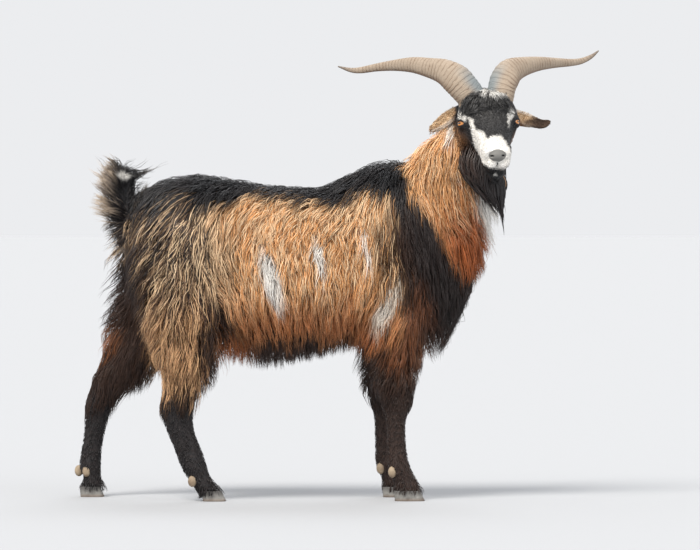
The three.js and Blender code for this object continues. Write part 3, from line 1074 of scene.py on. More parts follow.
@dataclass(frozen=True)
class EyeFinish:
    """A wet amber eye with a level dark pupil."""

    amber: Colour = (0.50, 0.15, 0.02)
    gold: Colour = (0.72, 0.30, 0.06)
    rim: Colour = (0.03, 0.014, 0.008)
    pupil: Colour = (0.004, 0.004, 0.005)

    def material(self) -> bpy.types.Material:
        """Builds the material.

        Returns:
            The material, which reads the "gaze" vertex colour: level, upright and out from the iris.
        """
        paint = Paint("eye_amber")
        level, upright, out, _ = paint.mark("gaze")
        level, upright = level * 2.0 - 1.0, upright * 2.0 - 1.0
        fibres = paint.noise(900.0, 3.0)
        colour = paint.blend(fibres, self.amber, self.gold)
        pupil = ((1.0 - (upright * 8.5).absolute() ** 2.0 - (level * 2.9).absolute() ** 4.0) * 9.0).clamp()
        rim = ((0.76 - out) * 9.0).clamp()
        colour = paint.blend(rim, colour, self.rim)
        colour = paint.blend(pupil, colour, self.pupil)
        return paint.finish(colour, 0.06, 0.6, Coat_Weight=1.0, Coat_Roughness=0.03)


# ---- the body's own shape


@dataclass
class Leg:
    """One leg: its shaggy outline, its short-haired lower part and its hoof."""

    name: str
    side: float
    upper: Rows
    lower: Rows
    meat: Sequence[tuple[Sequence[float], Sequence[float], float, float]]
    hoof_x: float
    hoof_front: float
    hoof_back: float
    dew_z: float
    dew_x: tuple[float, float]
    foot_y: float

    def mirrored(self, rows: Rows) -> Array:
        """Puts rows on this leg's side of the body."""
        rows = np.array(rows, float)
        return np.hstack([rows[:, :1], rows[:, 1:2] * self.side, rows[:, 2:]])

    def loft(self, rows: Rows, *shrink: float) -> Loft:
        """Makes a part of the leg on its side of the body, thinner by some millimetres."""
        return Loft(self.mirrored(rows), DOWN, shrink=shrink or (0.0, 0.0, 0.0))


def fore_leg(name: str, side: float, x: float) -> Leg:
    """Describes a foreleg.

    Args:
        name: Its name.
        side: -1 on the right and 1 on the left.
        x: Where its cannon stands.

    Returns:
        The leg.
    """
    return Leg(
        name, side,
        upper=[(x + 2, 68, 520, 54, 72, 74), (x + 5, 84, 430, 58, 72, 84), (x + 2, 90, 366, 54, 64, 84),
               (x - 3, 92, 314, 46, 62, 82), (x - 6, 91, 272, 37, 50, 60), (x - 9, 91, 244, 30, 41, 42)],
        lower=[(x + 1, 91, 300, 32, 40, 42), (x + 1, 91, 238, 31, 37, 40), (x - 1, 91, 205, 25, 25, 30),
               (x - 3, 91, 165, 22, 24, 25), (x - 1, 91, 122, 22, 25, 26), (x + 4, 91, 80, 27, 30, 29),
               (x + 18, 91, 50, 24, 32, 30), (x + 27, 91, 22, 28, 34, 34)],
        meat=[((x + 4, 78, 530), (x + 6, 86, 440), 58, 44), ((x + 6, 86, 440), (x, 91, 290), 44, 29),
              ((x - 30, 84, 470), (x - 14, 90, 400), 30, 24)],
        hoof_x=x + 30, hoof_front=37, hoof_back=36, dew_z=71, dew_x=(x - 12, x - 12), foot_y=91)


LEGS = (
    Leg("hind_right", -1.0,
        upper=[(-290, 82, 720, 56, 80, 80), (-290, 106, 640, 68, 120, 124), (-285, 117, 540, 74, 132, 148),
               (-280, 121, 450, 72, 124, 138), (-270, 119, 370, 63, 94, 104), (-262, 114, 310, 51, 66, 74),
               (-262, 108, 256, 31, 42, 44)],
        lower=[(-282, 104, 320, 34, 42, 42), (-298, 104, 240, 33, 42, 42), (-298, 104, 212, 29, 39, 41),
               (-289, 104, 168, 25, 34, 35), (-271, 104, 122, 24, 34, 34), (-258, 104, 84, 28, 33, 33),
               (-246, 104, 60, 25, 29, 30), (-221, 104, 22, 28, 30, 27)],
        meat=[((-285, 84, 640), (-262, 100, 470), 78, 64), ((-262, 100, 470), (-286, 104, 300), 62, 33)],
        hoof_x=-213, hoof_front=33, hoof_back=23, dew_z=49, dew_x=(-262, -262), foot_y=104),
    Leg("hind_left", 1.0,
        upper=[(-300, 82, 720, 56, 80, 80), (-326, 106, 640, 68, 96, 148), (-335, 117, 550, 72, 110, 157),
               (-352, 121, 440, 68, 102, 155), (-374, 119, 365, 60, 86, 116), (-404, 114, 310, 47, 56, 84),
               (-438, 108, 256, 31, 58, 52)],
        lower=[(-456, 104, 318, 33, 46, 40), (-490, 104, 235, 31, 34, 38), (-500, 104, 194, 26, 29, 31),
               (-509, 104, 145, 23, 26, 27), (-514, 104, 112, 23, 26, 27), (-518, 104, 76, 27, 28, 28),
               (-512, 104, 50, 24, 23, 24), (-511, 104, 22, 28, 30, 30)],
        meat=[((-320, 84, 640), (-335, 100, 480), 78, 64), ((-335, 100, 480), (-452, 104, 305), 60, 34)],
        hoof_x=-512, hoof_front=29, hoof_back=29, dew_z=63, dew_x=(-526, -546), foot_y=104),
    fore_leg("fore_right", -1.0, 238),
    fore_leg("fore_left", 1.0, 210),
)


def level_rows(*rows: tuple[float, float, float, float]) -> Rows:
    """Turns rows of x, top, bottom and half width into stations on the goat's middle plane."""
    return [(x, 0, (top + low) / 2, wide, (top - low) / 2, (top - low) / 2) for x, top, low, wide in rows]


TRUNK_COAT = level_rows(
    (-432, 690, 600, 30), (-412, 732, 540, 84), (-372, 770, 470, 124), (-318, 793, 425, 150),
    (-245, 800, 385, 166), (-147, 788, 328, 174), (-50, 774, 322, 180), (50, 772, 345, 180), (115, 800, 362, 176),
    (175, 830, 372, 168), (240, 842, 362, 154), (300, 812, 350, 136), (331, 785, 334, 120), (360, 757, 374, 106),
    (390, 715, 432, 86), (428, 690, 515, 60), (456, 664, 555, 34), (472, 640, 590, 12))
TRUNK_SKIN = level_rows(
    (-405, 690, 600, 30), (-380, 733, 545, 78), (-318, 768, 490, 112), (-245, 777, 450, 130), (-147, 766, 405, 140),
    (-50, 753, 395, 146), (50, 751, 405, 146), (115, 776, 420, 142), (175, 804, 432, 134), (240, 816, 436, 120),
    (300, 786, 446, 102), (345, 742, 474, 82), (385, 694, 530, 56), (412, 655, 575, 24))
NECK_COAT = [(245, 0, 640, 122, 140, 150), (312, -2, 722, 110, 122, 200), (362, -8, 800, 92, 106, 150),
             (400, -14, 864, 80, 78, 96), (424, -16, 912, 66, 62, 62), (440, -24, 950, 40, 36, 36)]
NECK_SKIN = [(245, 0, 665, 92, 96, 100), (312, -2, 738, 80, 86, 112), (362, -8, 806, 68, 76, 88),
             (400, -18, 864, 58, 60, 64), (428, -34, 912, 50, 46, 52), (446, -52, 940, 38, 34, 36)]
NECK_AXIS = (195, -30, 310)
TAIL_COAT = [(-425, 0, 640, 36, 53, 25), (-440, 0, 690, 38, 62, 22), (-450, 0, 735, 42, 62, 22),
             (-452, 0, 770, 42, 53, 34), (-450, 0, 797, 36, 40, 46), (-452, 0, 817, 24, 24, 26),
             (-453, 0, 831, 7, 7, 7)]
TAIL_SKIN = [(-398, 0, 640, 26, 30, 20), (-416, 0, 680, 19, 24, 18), (-428, 0, 730, 15, 20, 16),
             (-434, 0, 780, 12, 16, 14), (-436, 0, 806, 6, 7, 7), (-437, 0, 814, 2, 2, 2)]
BEARD_COAT = [(452, -86, 864, 62, 60, 46), (451, -104, 826, 66, 58, 46), (454, -118, 794, 59, 54, 44),
              (461, -130, 768, 47, 44, 40), (468, -140, 745, 36, 33, 32), (478, -146, 720, 20, 20, 20),
              (489, -152, 696, 7, 8, 8), (494, -155, 664, 4, 4, 4), (496, -156, 632, 3, 3, 3)]
SKULL = [(-98, 0, 6, 30, 24, 26), (-88, 0, 0, 55, 52, 52), (-64, 0, 0, 70, 65, 80), (-32, 0, 0, 75, 62, 90),
         (0, 0, 0, 73, 50, 90), (34, 0, 0, 58, 41, 84), (70, 0, 0, 46, 33, 77), (104, 0, 0, 41, 26, 72),
         (136, 0, 0, 42, 21, 68), (156, 0, 0, 36, 14, 58), (168, 0, -2, 22, 4, 42)]
SKULL_POWER = 2.25
BEARD_TURN = 0.14  # radians that the beard's width turns from straight ahead
TRUNK, NECK, TAIL = Loft(TRUNK_SKIN, X, power=2.15), Loft(NECK_SKIN, NECK_AXIS), Loft(TAIL_SKIN, UP)
HEAD = Loft(SKULL, X, power=SKULL_POWER)
BEARD = Loft(BEARD_COAT, DOWN, (math.cos(BEARD_TURN), math.sin(BEARD_TURN), 0))
FORELOCK = Ball((-16, -5, 42), (26, 50, 32))
HORNS = {
    "right": [(-30, -36, 34, 27, 33), (-38, -42, 57, 27, 35), (-50, -59, 77, 26, 36.5), (-66, -76, 91, 25, 37),
              (-90, -101, 99, 22, 31), (-120, -132, 95, 18, 24.5), (-155, -168, 86, 15, 19.3),
              (-190, -208, 68, 11.5, 13.8), (-218, -248, 49, 8.5, 10), (-238, -285, 32, 6.5, 7.8),
              (-250, -309, 27, 4.6, 5.6), (-260, -339, 32.5, 1.4, 1.4)],
    "left": [(-30, 31, 36, 26, 30), (-38, 33.5, 57, 27, 32.5), (-50, 37.5, 73, 26, 33.5), (-66, 46, 86, 25, 34.5),
             (-90, 63, 94, 22, 32), (-120, 97, 91, 18, 24), (-155, 142, 80, 15, 17.4), (-190, 189, 63, 11.5, 12.4),
             (-218, 231, 48, 8.5, 9.2), (-238, 262, 41, 6.5, 7.5), (-250, 288, 46, 4.6, 5.2),
             (-260, 308.5, 57, 1.4, 1.4)],
}
FACING = np.array([0.873, -0.142, 0.466])  # square to the goat's length, from the head
EARS = {
    "right": ((0.44, -0.385, 0.8), [
        (-50, -56, 18, 13, 5, 5), (-57, -72, 6, 17, 3.4, 3.4), (-68, -88, -10, 21, 2.8, 2.8),
        (-82, -103, -30, 22, 2.6, 2.6), (-93, -115, -47, 17, 2.4, 2.4), (-101, -124, -60, 9, 2.4, 2.4),
        (-104, -128, -65, 3, 2, 2)]),
    "left": ((0.8, 0.1, 0.6), [
        (-50, 58, -4, 16, 5, 5), (-57, 80, -16, 19, 3.4, 3.4), (-65, 103, -27, 18, 2.8, 2.8),
        (-73, 124, -38, 14, 2.6, 2.6), (-79, 142, -46, 11, 2.4, 2.4), (-84, 158, -47.5, 9, 2.4, 2.4),
        (-87, 167, -47, 4, 2, 2)]),
}


def ear_loft(s: float, thin: float = 0.0) -> Loft:
    """Makes an ear in the head's frame.

    Args:
        s: Which side.
        thin: Millimetres to take off all round.

    Returns:
        The ear.
    """
    flat, rows = EARS[SIDE_NAMES[s]]
    axis = np.array(rows[-1][:3], float) - rows[0][:3]
    return Loft(rows, axis, np.cross(np.array(flat), axis) * s, 2.0, cup=0.32, shrink=(thin,) * 3)


def ear_rim(q: Array) -> Array:
    """Measures how near points are to an ear's edge.

    Args:
        q: Points in the head's frame.

    Returns:
        0 in an ear's middle and 1 at its edge.
    """
    found = np.zeros(len(q))
    for s in SIDES.values():
        loft = ear_loft(s)
        middle, _, wide, _, _ = loft.section(q @ loft.axis)
        found = np.where(q[:, 1] * s > 0, np.abs(q @ loft.side - middle) / wide, found)
    return found


def eye_frame(s: float) -> Array:
    """Gives an eye's axes in the head's frame.

    Args:
        s: Which side.

    Returns:
        Columns level, upright and out along its gaze.
    """
    gaze = unit(np.array([0.5, 0.86 * s, 0.3]))
    upright = HEAD_TURN[2] - gaze * (HEAD_TURN[2] @ gaze)
    upright = unit(unit(upright) + 0.12 * s * np.cross(upright, gaze))
    level = np.cross(upright, gaze) * s
    return np.stack([level, upright, gaze], axis=1)


def eye_centre(s: float) -> Array:
    """Gives an eyeball's centre in the head's frame."""
    return np.array([-2.0, 60.0 * s, 2.0])


def graded(stops: Sequence[float], steps: Sequence[float]) -> Array:
    """Spaces grid lines between stops, with a step of its own in each gap."""
    return np.concatenate([np.arange(*gap) for gap in zip(stops, stops[1:], steps)])


@dataclass
class Body:
    """The goat's skin, and the outer limit of its coat."""

    fine_step: float = 1.7
    coarse_step: float = 7.0

    def build(self) -> None:
        """Works out both distance fields."""
        steps = (self.coarse_step, self.fine_step * 1.0, self.coarse_step)
        close_at_head = ((-570, 312, 632, 640), (-262, -256, 42, 190), (-6, 796, 1010, 1020))
        self.skin = Volume([graded(stops, steps) for stops in close_at_head])
        self._flesh()
        self._face()
        self.coat = Volume([np.arange(-640, 760, 11.0), np.arange(-290, 230, 11.0), np.arange(-30, 1140, 11.0)], 90.0)
        for shape, soft in ((Loft(TRUNK_COAT, X, power=2.2), 1), (Loft(NECK_COAT, NECK_AXIS), 18),
                            (Loft(TAIL_COAT, UP), 2), (BEARD, 4)):
            self.coat.mix(shape, soft)
        self.coat.mix(Loft(SKULL, X, power=SKULL_POWER, shrink=(-2, -2, -2)), 4, head=True)
        self.coat.mix(Ball((-8, -6, 54), (36, 66, 43)), 30, head=True)
        for s in SIDES.values():
            self.coat.mix(ear_loft(s, -3.0), 4, head=True)
        for leg in LEGS:
            self.coat.mix(leg.loft(leg.upper), 12)
            x, y, _, *size = leg.lower[-1]
            cuff = [(x + 1, y, 32, *(r + 7 for r in size)), (x + 5, y, 8, *(r + 11 for r in size))]
            self.coat.mix(leg.loft([*leg.lower[:-1], *cuff]), 4)

    def _flesh(self) -> None:
        """Joins the trunk, the neck, the tail and the legs."""
        for shape, soft in ((TRUNK, 1), (NECK, 30), (TAIL, 14)):
            self.skin.mix(shape, soft)
        for leg in LEGS:
            for start, end, thick, thin in leg.meat:
                self.skin.mix(Bone(*leg.mirrored([start, end]), thick, thin), 24)
            self.skin.mix(leg.loft(leg.lower, 3.5, 3.5, 3.5), 12)
        for s in SIDES.values():
            self.skin.mix(Ball((232, 88 * s, 640), (96, 42, 120)), 30)
            self.skin.mix(Ball((-290, 84 * s, 620), (110, 44, 120)), 30)

    def _face(self) -> None:
        """Joins and carves the head."""
        def add(shape: Shape, soft: float, cut: bool = False) -> None:
            """Joins or cuts a small form."""
            self.skin.mix(shape, soft, cut, head=True, margin=22)

        self.skin.mix(Loft(SKULL[:-1], X, power=SKULL_POWER, shrink=(6, 5, 9)), 18, head=True)
        add(Ball((154, 0, -6), (14, 20.5, 14)), 5)
        add(Ball((131, 0, -64), (23, 22, 17)), 8)
        add(FORELOCK, 34)
        for s in SIDES.values():
            eye, frame = eye_centre(s), eye_frame(s)
            add(Ball((-12, 56 * s, 20), (25, 14, 10)), 8)
            add(Bone((30, 44 * s, -18), (-42, 62 * s, -14), 8, 9), 9)
            add(Ball((148, 14 * s, -27), (18, 17.5, 15)), 6)
            root, rise = HORNS[SIDE_NAMES[s]][:2]
            add(Bone(root[:3], rise[:3], 25, 22), 8)
            add(Ball(eye, (18.2,) * 3), 3)
            add(ear_loft(s), 5)
            add(Ball(eye, (EYE_RADIUS + 0.3,) * 3), 0.6, cut=True)
            add(Ball(eye + frame @ [0, -0.8, 14], (12.0, 4.8, 9), frame), 1.0, cut=True)
            add(Ball(eye + frame @ [12.5, -1.5, 11.5], (6.5, 1.9, 5), frame), 1.2, cut=True)
            add(Ball((165, 15.5 * s, -3), (11, 6.5, 2.6), turn(-20 * s, 0, 30 * s)), 1.0, cut=True)
        add(Ball((140, 0, -44), (46, 60, 1.4), turn(0, 8, 0)), 2.0, cut=True)
        add(Ball((168, 0, -31), (7, 1.1, 12)), 1.6, cut=True)


@dataclass(frozen=True)
class Ground:
    """Points of the skin with all that a tuft needs to know about its root."""

    place: Array
    out: Array
    part: Array

    def only(self, chosen: Array) -> Ground:
        """Keeps some of the points."""
        return Ground(self.place[chosen], self.out[chosen], self.part[chosen])

    def on(self, part: Part) -> Array:
        """Says which points are on one kind of ground."""
        return self.part == part.value


@dataclass(frozen=True)
class Hair:
    """Tufts that have grown: points along each, their roots, and the lock that each is in."""

    path: Array
    ground: Ground
    lock: Array

    def only(self, chosen: Array) -> Hair:
        """Keeps some of the tufts."""
        return Hair(self.path[chosen], self.ground.only(chosen), self.lock[chosen])


class Unwrap:
    """Unrolls each part of the skin along its own length and around its own girth onto one square."""

    def __init__(self) -> None:
        """Gives each part its rectangle on the square: left, bottom, width and height."""
        self.sheets: list[tuple[Loft, bool, tuple[float, float, float, float]]] = [
            (TRUNK, False, (0.01, 0.01, 0.47, 0.97)),
            (NECK, False, (0.51, 0.52, 0.23, 0.46)),
            (HEAD, True, (0.76, 0.52, 0.22, 0.46)),
        ]
        for k, leg in enumerate(LEGS):
            left = 0.51 + 0.12 * k
            self.sheets.append((leg.loft(leg.upper, 14, 30, 30), False, (left, 0.28, 0.11, 0.22)))
            self.sheets.append((leg.loft(leg.lower), False, (left, 0.14, 0.11, 0.12)))
        self.sheets.append((TAIL, False, (0.51, 0.01, 0.11, 0.11)))
        self.sheets.append((Loft(BEARD_COAT, DOWN), False, (0.87, 0.01, 0.11, 0.11)))
        for k, s in enumerate(SIDES.values()):
            self.sheets.append((ear_loft(s), True, (0.64 + 0.11 * k, 0.01, 0.1, 0.11)))

    def spot(self, p: Array) -> Array:
        """Finds points' places on the square.

        Args:
            p: Points near the skin.

        Returns:
            Two numbers for each.
        """
        nearest = np.full(len(p), 1e9)
        found = np.zeros((len(p), 2))
        for loft, head, (left, bottom, wide, high) in self.sheets:
            q = to_head(p) if head else p
            away = loft.distance(q)
            start, end = loft.table[[0, -1], 0]
            along = q @ loft.axis
            middle = loft.section(along)
            angle = np.arctan2(q @ loft.side - middle[0], q @ loft.over - middle[1]) / (2 * math.pi) + 0.5
            here = columns(left + wide * np.clip((along - start) / (end - start), 0, 1), bottom + high * angle)
            closer = away < nearest
            found[closer] = here[closer]
            nearest = np.minimum(nearest, away)
        return found


# place (x, out from the middle, z), lie (x, out, z), length, curl
COMB_ROWS = (
    (270, 12, 830, -0.6, 0.55, -0.35, 75, 2), (180, 12, 815, -0.7, 0.5, -0.35, 78, 2),
    (50, 12, 770, -0.8, 0.4, -0.35, 70, 2), (-150, 12, 785, -0.8, 0.4, -0.35, 75, 2),
    (-300, 12, 790, -0.85, 0.35, -0.4, 90, 3), (-400, 20, 720, -0.7, 0.2, -0.75, 80, 3),
    (210, 90, 770, -0.2, 0.2, -0.95, 95, 3), (60, 110, 735, -0.55, 0.2, -0.8, 58, 6),
    (-60, 110, 735, -0.6, 0.2, -0.78, 58, 6), (-200, 100, 745, -0.65, 0.2, -0.75, 85, 3),
    (-300, 90, 745, -0.75, 0.2, -0.65, 105, 3), (80, 150, 670, -0.3, 0.1, -0.95, 60, 8),
    (-50, 150, 660, -0.3, 0.1, -0.95, 62, 8), (-190, 135, 660, -0.3, 0.1, -0.95, 105, 5),
    (-290, 130, 660, -0.5, 0.1, -0.85, 125, 6), (-370, 100, 660, -0.6, 0.1, -0.8, 110, 5),
    (60, 160, 560, 0.02, 0.05, -1, 95, 4), (-90, 165, 560, 0.2, 0.05, -0.98, 105, 4),
    (60, 150, 450, 0.14, 0, -1, 110, 3), (-90, 150, 450, 0.36, 0, -0.93, 115, 4), (0, 30, 400, 0.12, 0, -1, 80, 3),
    (150, 60, 420, 0.0, 0, -1, 85, 3), (-190, 145, 570, 0.5, 0.05, -0.85, 135, 5),
    (-170, 140, 470, 0.52, 0, -0.85, 130, 5), (-270, 145, 580, -0.12, 0.05, -1, 145, 7),
    (-350, 110, 570, -0.62, 0.1, -0.78, 140, 7), (-400, 60, 560, -0.4, 0.1, -0.9, 115, 4),
    (-260, 130, 460, 0.1, 0, -1, 135, 6), (-340, 110, 450, -0.42, 0, -0.9, 130, 6),
    (-280, 110, 350, -0.12, 0, -1, 95, 5), (190, 140, 650, 0.0, 0.1, -1, 105, 4), (200, 130, 540, -0.1, 0, -1, 110, 4),
    (205, 125, 470, -0.42, 0, -0.9, 105, 5), (270, 120, 600, 0.35, 0, -0.93, 115, 3),
    (340, 80, 560, 0.22, 0.1, -0.95, 125, 3), (400, 30, 600, 0.2, 0.1, -0.97, 110, 3),
    (360, 30, 480, -0.15, 0, -1, 165, 3), (320, 40, 450, 0.0, 0, -1, 150, 3), (280, 60, 430, 0.05, 0, -1, 100, 3),
    (238, 100, 420, -0.38, 0, -0.92, 90, 5), (225, 90, 330, -0.42, 0, -0.9, 65, 4),
    (265, 95, 340, -0.15, 0, -1, 45, 2), (290, 20, 860, -0.5, 0.65, -0.55, 80, 3),
    (370, 20, 925, -0.5, 0.75, -0.45, 60, 4), (330, 75, 830, -0.08, 0.25, -0.96, 95, 5),
    (380, 60, 880, -0.12, 0.3, -0.95, 75, 6), (420, 40, 900, -0.1, 0.2, -0.95, 60, 4),
    (400, 60, 790, 0.3, 0.12, -0.94, 120, 4), (330, 100, 720, 0.4, 0.08, -0.9, 125, 4),
    (400, 70, 680, 0.55, 0.05, -0.83, 125, 4), (450, 25, 770, 0.5, 0.15, -0.87, 125, 3),
    (450, 20, 680, 0.3, 0.1, -0.95, 120, 3),
)


class Comb:
    """Which way the long coat lies, how long it is and how much it curls, blended between named places."""

    blur = 35.0  # millimetres over which neighbouring places blend

    def __init__(self) -> None:
        """Reads the table."""
        table = np.array(COMB_ROWS, float)
        self.place, self.rest = table[:, :3], np.hstack([unit(table[:, 3:6]), table[:, 6:]])

    def read(self, p: Array) -> tuple[Array, Array, Array]:
        """Blends the nearest rows.

        Args:
            p: Points in the goat's axes.

        Returns:
            The lie, the length and the curl at each.
        """
        side = np.where(p[:, 1] < 0, -1.0, 1.0)
        here = p.copy()
        here[:, 1] *= side
        weight = 1 / (((here[:, None] - self.place) ** 2).sum(axis=2) + self.blur**2) ** 2
        mix = weight @ self.rest / weight.sum(axis=1, keepdims=True)
        mix[:, 1] *= side
        return unit(mix[:, :3]), mix[:, 3], mix[:, 4]


@dataclass(frozen=True)
class Tuft:
    """One kind of tuft: its joints, the spread of its sizes, how it lies and how it gathers."""

    joints: int
    width: float = 1.0
    widths: tuple[float, float] = (0.8, 1.35)
    lengths: tuple[float, float] = (0.7, 1.25)
    layers: tuple[float, float] = (0.12, 1.0)
    layer_power: float = 1.0
    stray: float = 14.0
    gravity: float = 0.35
    wave: float = 70.0
    clump: float = 0.55
    share: int = 9
    lift: float = 1.12


LONG = Tuft(joints=5, width=2.0, layer_power=0.8, clump=0.6, share=11, wave=90.0)
FINE = Tuft(joints=4, width=1.8, layer_power=0.8, clump=0.45, share=11, wave=85.0)
SHORT = Tuft(joints=2, widths=(0.8, 1.3), lengths=(0.75, 1.25), layers=(0.25, 0.95), stray=3.0, gravity=0.05,
             clump=0.25, share=5, lift=1.0)
POLL = Tuft(joints=4, widths=(1.2, 2.0), layers=(0.15, 1.0), stray=4.0, gravity=0.4, clump=0.5, lift=0.8)
SHANK = Tuft(joints=2, widths=(1.3, 2.1), lengths=(0.7, 1.3), layers=(0.2, 1.0), stray=4.0, gravity=0.2,
             clump=0.1, share=5, lift=1.0)
BRUSH = Tuft(joints=5, widths=(0.9, 1.9), lengths=(0.4, 1.2), layers=(0.3, 1.0), stray=60.0, gravity=0.0,
             clump=0.75, share=16, lift=2.2)
STRANDS = Tuft(joints=6, widths=(2.2, 4.2), clump=0.85, share=26)


@dataclass
class Coat:
    """Grows tufts on the skin and gathers them into pieces."""

    body: Body
    marks: Markings
    unwrap: Unwrap
    comb: Comb
    material: bpy.types.Material
    patch_size: float = 0.003
    root_depth: float = 1.5

    def grow(self, roots: Ground, way: Callable[[Array], Array], length: Array, curl: Array | float, kind: Tuft,
             rng: Rng) -> Hair:
        """Grows tufts from their roots and draws them into locks.

        Args:
            roots: The roots.
            way: Gives the lie at points.
            length: Each tuft's usual length.
            curl: How far each tuft waves from side to side.
            kind: The kind of tuft.
            rng: Random numbers.

        Returns:
            The tufts.
        """
        length = length * rng.uniform(*kind.lengths, len(length))
        layer = rng.uniform(*kind.layers, len(length)) ** kind.layer_power
        path = self.paths(roots, way, length, layer, kind)
        return self.gather(path, roots, np.broadcast_to(curl, len(length)), layer, kind, rng)

    def paths(self, ground: Ground, way: Callable[[Array], Array], length: Array, layer: Array, kind: Tuft) -> Array:
        """Walks tufts from their roots along the coat's lie.

        Args:
            ground: The roots.
            way: Gives the lie at points.
            length: Each tuft's length.
            layer: How high in the coat's depth each tuft ends, 0 to 1.
            kind: The kind of tuft.

        Returns:
            Points along each tuft.
        """
        skin, coat = self.body.skin, self.body.coat
        limit = kind.stray * np.mod(layer * 37.7, 1) ** 4 + 1.0
        keep = np.ones(len(length))
        for attempt in (0, 1):
            step = (length * keep / kind.joints)[:, None]
            path = [ground.place - ground.out * self.root_depth]
            still = np.ones(len(length), bool)
            for k in range(1, kind.joints + 1):
                p = path[-1]
                t = k / kind.joints
                out, high = skin.slope(p), skin.sample(p)
                room = np.maximum(-coat.sample(p), 0) + np.maximum(high, 0)
                want = np.clip(layer * kind.lift * room * min(1.0, 1.7 * t), 1.2, np.maximum(0.4 * length, length - 40))
                near = np.exp(-((np.maximum(high, 0) / 35.0) ** 2))[:, None]
                lie = way(p)
                lie = unit(lie - out * dot(lie, out) * near)
                push = np.clip((want - high) / np.maximum(step[:, 0], 1e-9), -0.3, 0.85)
                push = np.where((push < 0) & (out[:, 2] < -0.1), 0, push)[:, None]
                heading = lie * (1 - kind.gravity * t) + np.array([0, 0, -1.0]) * kind.gravity * t
                p = p + unit(heading + out * push) * step
                before, over = coat.sample(path[-1]) - limit, coat.sample(p) - limit
                edge = coat.slope(p, 8.0)
                straight = dot(unit(p - path[-1]), edge)[:, 0]
                if attempt == 0:
                    stop = still & (over > 0) & (straight > 0.5)
                    share = np.clip(-before / np.maximum(over - before, 1.0), 0, 1)
                    keep[stop] = ((k - 1 + share) / kind.joints)[stop]
                    still &= ~stop
                p = p - edge * np.where((over > 0) & (straight <= 0.5), over, 0)[:, None]
                path.append(p + out * np.maximum(1.0 + 0.6 * t - skin.sample(p), 0)[:, None])
        return np.stack(path, axis=1)

    def gather(self, path: Array, ground: Ground, curl: Array, layer: Array, kind: Tuft,
               rng: Rng) -> Hair:
        """Draws tufts together into locks and gives them their waves.

        Args:
            path: Points along each tuft.
            ground: The roots.
            curl: How far each tuft waves from side to side.
            layer: How high in the coat each tuft lies.
            kind: The kind of tuft.
            rng: Random numbers.

        Returns:
            The tufts.
        """
        number = len(path)
        leaders = rng.choice(number, max(1, number // kind.share), replace=False)
        key = ground.place + ground.out * layer[:, None] * 30
        tree = KDTree(len(leaders))
        for i, j in enumerate(leaders):
            tree.insert(key[j], i)
        tree.balance()
        lock = leaders[[tree.find(k)[1] for k in key]]
        t = np.linspace(0, 1, path.shape[1])[None, :, None]
        reach = np.linalg.norm(path[:, -1] - path[:, 0], axis=1)[:, None, None]
        gap = path[lock] - path
        pull = np.minimum(1.0, 0.45 * reach / np.maximum(np.linalg.norm(gap, axis=2, keepdims=True), 1e-6))
        path = path + gap * kind.clump * t**1.3 * pull
        along = unit(np.gradient(path, axis=1))
        side = unit(np.cross(along, ground.out[:, None, :]))
        phase = wander(ground.place[lock], 55, 11) * 5 + rng.normal(0, 0.5, number)
        run = np.linalg.norm(np.diff(path, axis=1), axis=2).cumsum(axis=1)
        run = np.hstack([np.zeros((number, 1)), run])
        turn_at = run * 2 * math.pi / kind.wave + phase[:, None]
        size = (curl[:, None] * ramp(run, 0, 30) * rng.uniform(0.5, 1.4, number)[:, None])[..., None]
        bend = side * np.sin(turn_at)[..., None] + ground.out[:, None] * 0.35 * np.cos(turn_at)[..., None]
        return Hair(path + bend * size, ground, lock)

    def knit(self, name: str, hair: Hair, part: Part, width: Array, rng: Rng, slot: str,
             *nodes: str) -> None:
        """Makes one piece of closed, tapered tufts.

        Args:
            name: The piece's name.
            hair: The tufts.
            part: Which pattern colours them.
            width: Each tuft's width.
            rng: Random numbers.
            slot: The record's finish.
            *nodes: The nodes that the piece stands for.
        """
        path = hair.path
        number, stations = path.shape[:2]
        rings, each = stations - 1, (stations - 1) * 3 + 1
        along = unit(np.gradient(path, axis=1))
        side = unit(np.cross(hair.ground.out[:, None], along))
        up = np.cross(along, side)
        roll = rng.normal(0, 0.35, number)[:, None, None]
        side, up = side * np.cos(roll) + up * np.sin(roll), up * np.cos(roll) - side * np.sin(roll)
        t = np.linspace(0, 1, stations)[:-1]
        half = (width[:, None] / 2 * (0.55 + 0.9 * t * (1 - t) * 2) * (1 - t**3))[..., None]
        body, side, up = path[:, :-1], side[:, :-1] * half, up[:, :-1] * half
        ring = np.stack([body - side, body + side, body + up], axis=2)
        vertices = np.concatenate([ring.reshape(number, -1, 3), path[:, -1:]], axis=1).reshape(-1, 3)
        grid = np.arange(rings * 3).reshape(rings, 3)
        tip = np.stack([grid[-1], np.roll(grid[-1], -1), np.full(3, rings * 3)], axis=1)
        ends = np.vstack([grid[0][[0, 2, 1]][None], tip])
        start = (np.arange(number) * each)[:, None, None]
        faces = [(start + tube(grid)).reshape(-1, 4), (start + ends).reshape(-1, 3)]
        fate = np.mod(np.sin(hair.lock * 12.9898) * 43758.5453, 1)
        luck = np.clip(0.65 * fate + 0.35 * rng.random(number), 0, 1)
        at = path[:, int(stations * 0.55)]
        if part is Part.TAIL:
            pattern = self.marks.read(path.reshape(-1, 3), np.repeat(luck, stations), part)
            pattern = pattern.reshape(number, stations, 4)
            pattern = np.concatenate([np.repeat(pattern[:, :-1], 3, axis=1), pattern[:, -1:]], axis=1)
        else:
            pattern = np.repeat(self.marks.read(at, luck, part), each, axis=0)
        # painted shading across each tuft: one edge darker, the ridge that faces out lighter, the tip a little lighter;
        # luck gives each tuft its random tone
        tone_and_painted_shade = np.clip(luck[:, None] + np.append(np.tile([-0.16, 0.04, 0.2], rings), 0.1), 0, 1.2)
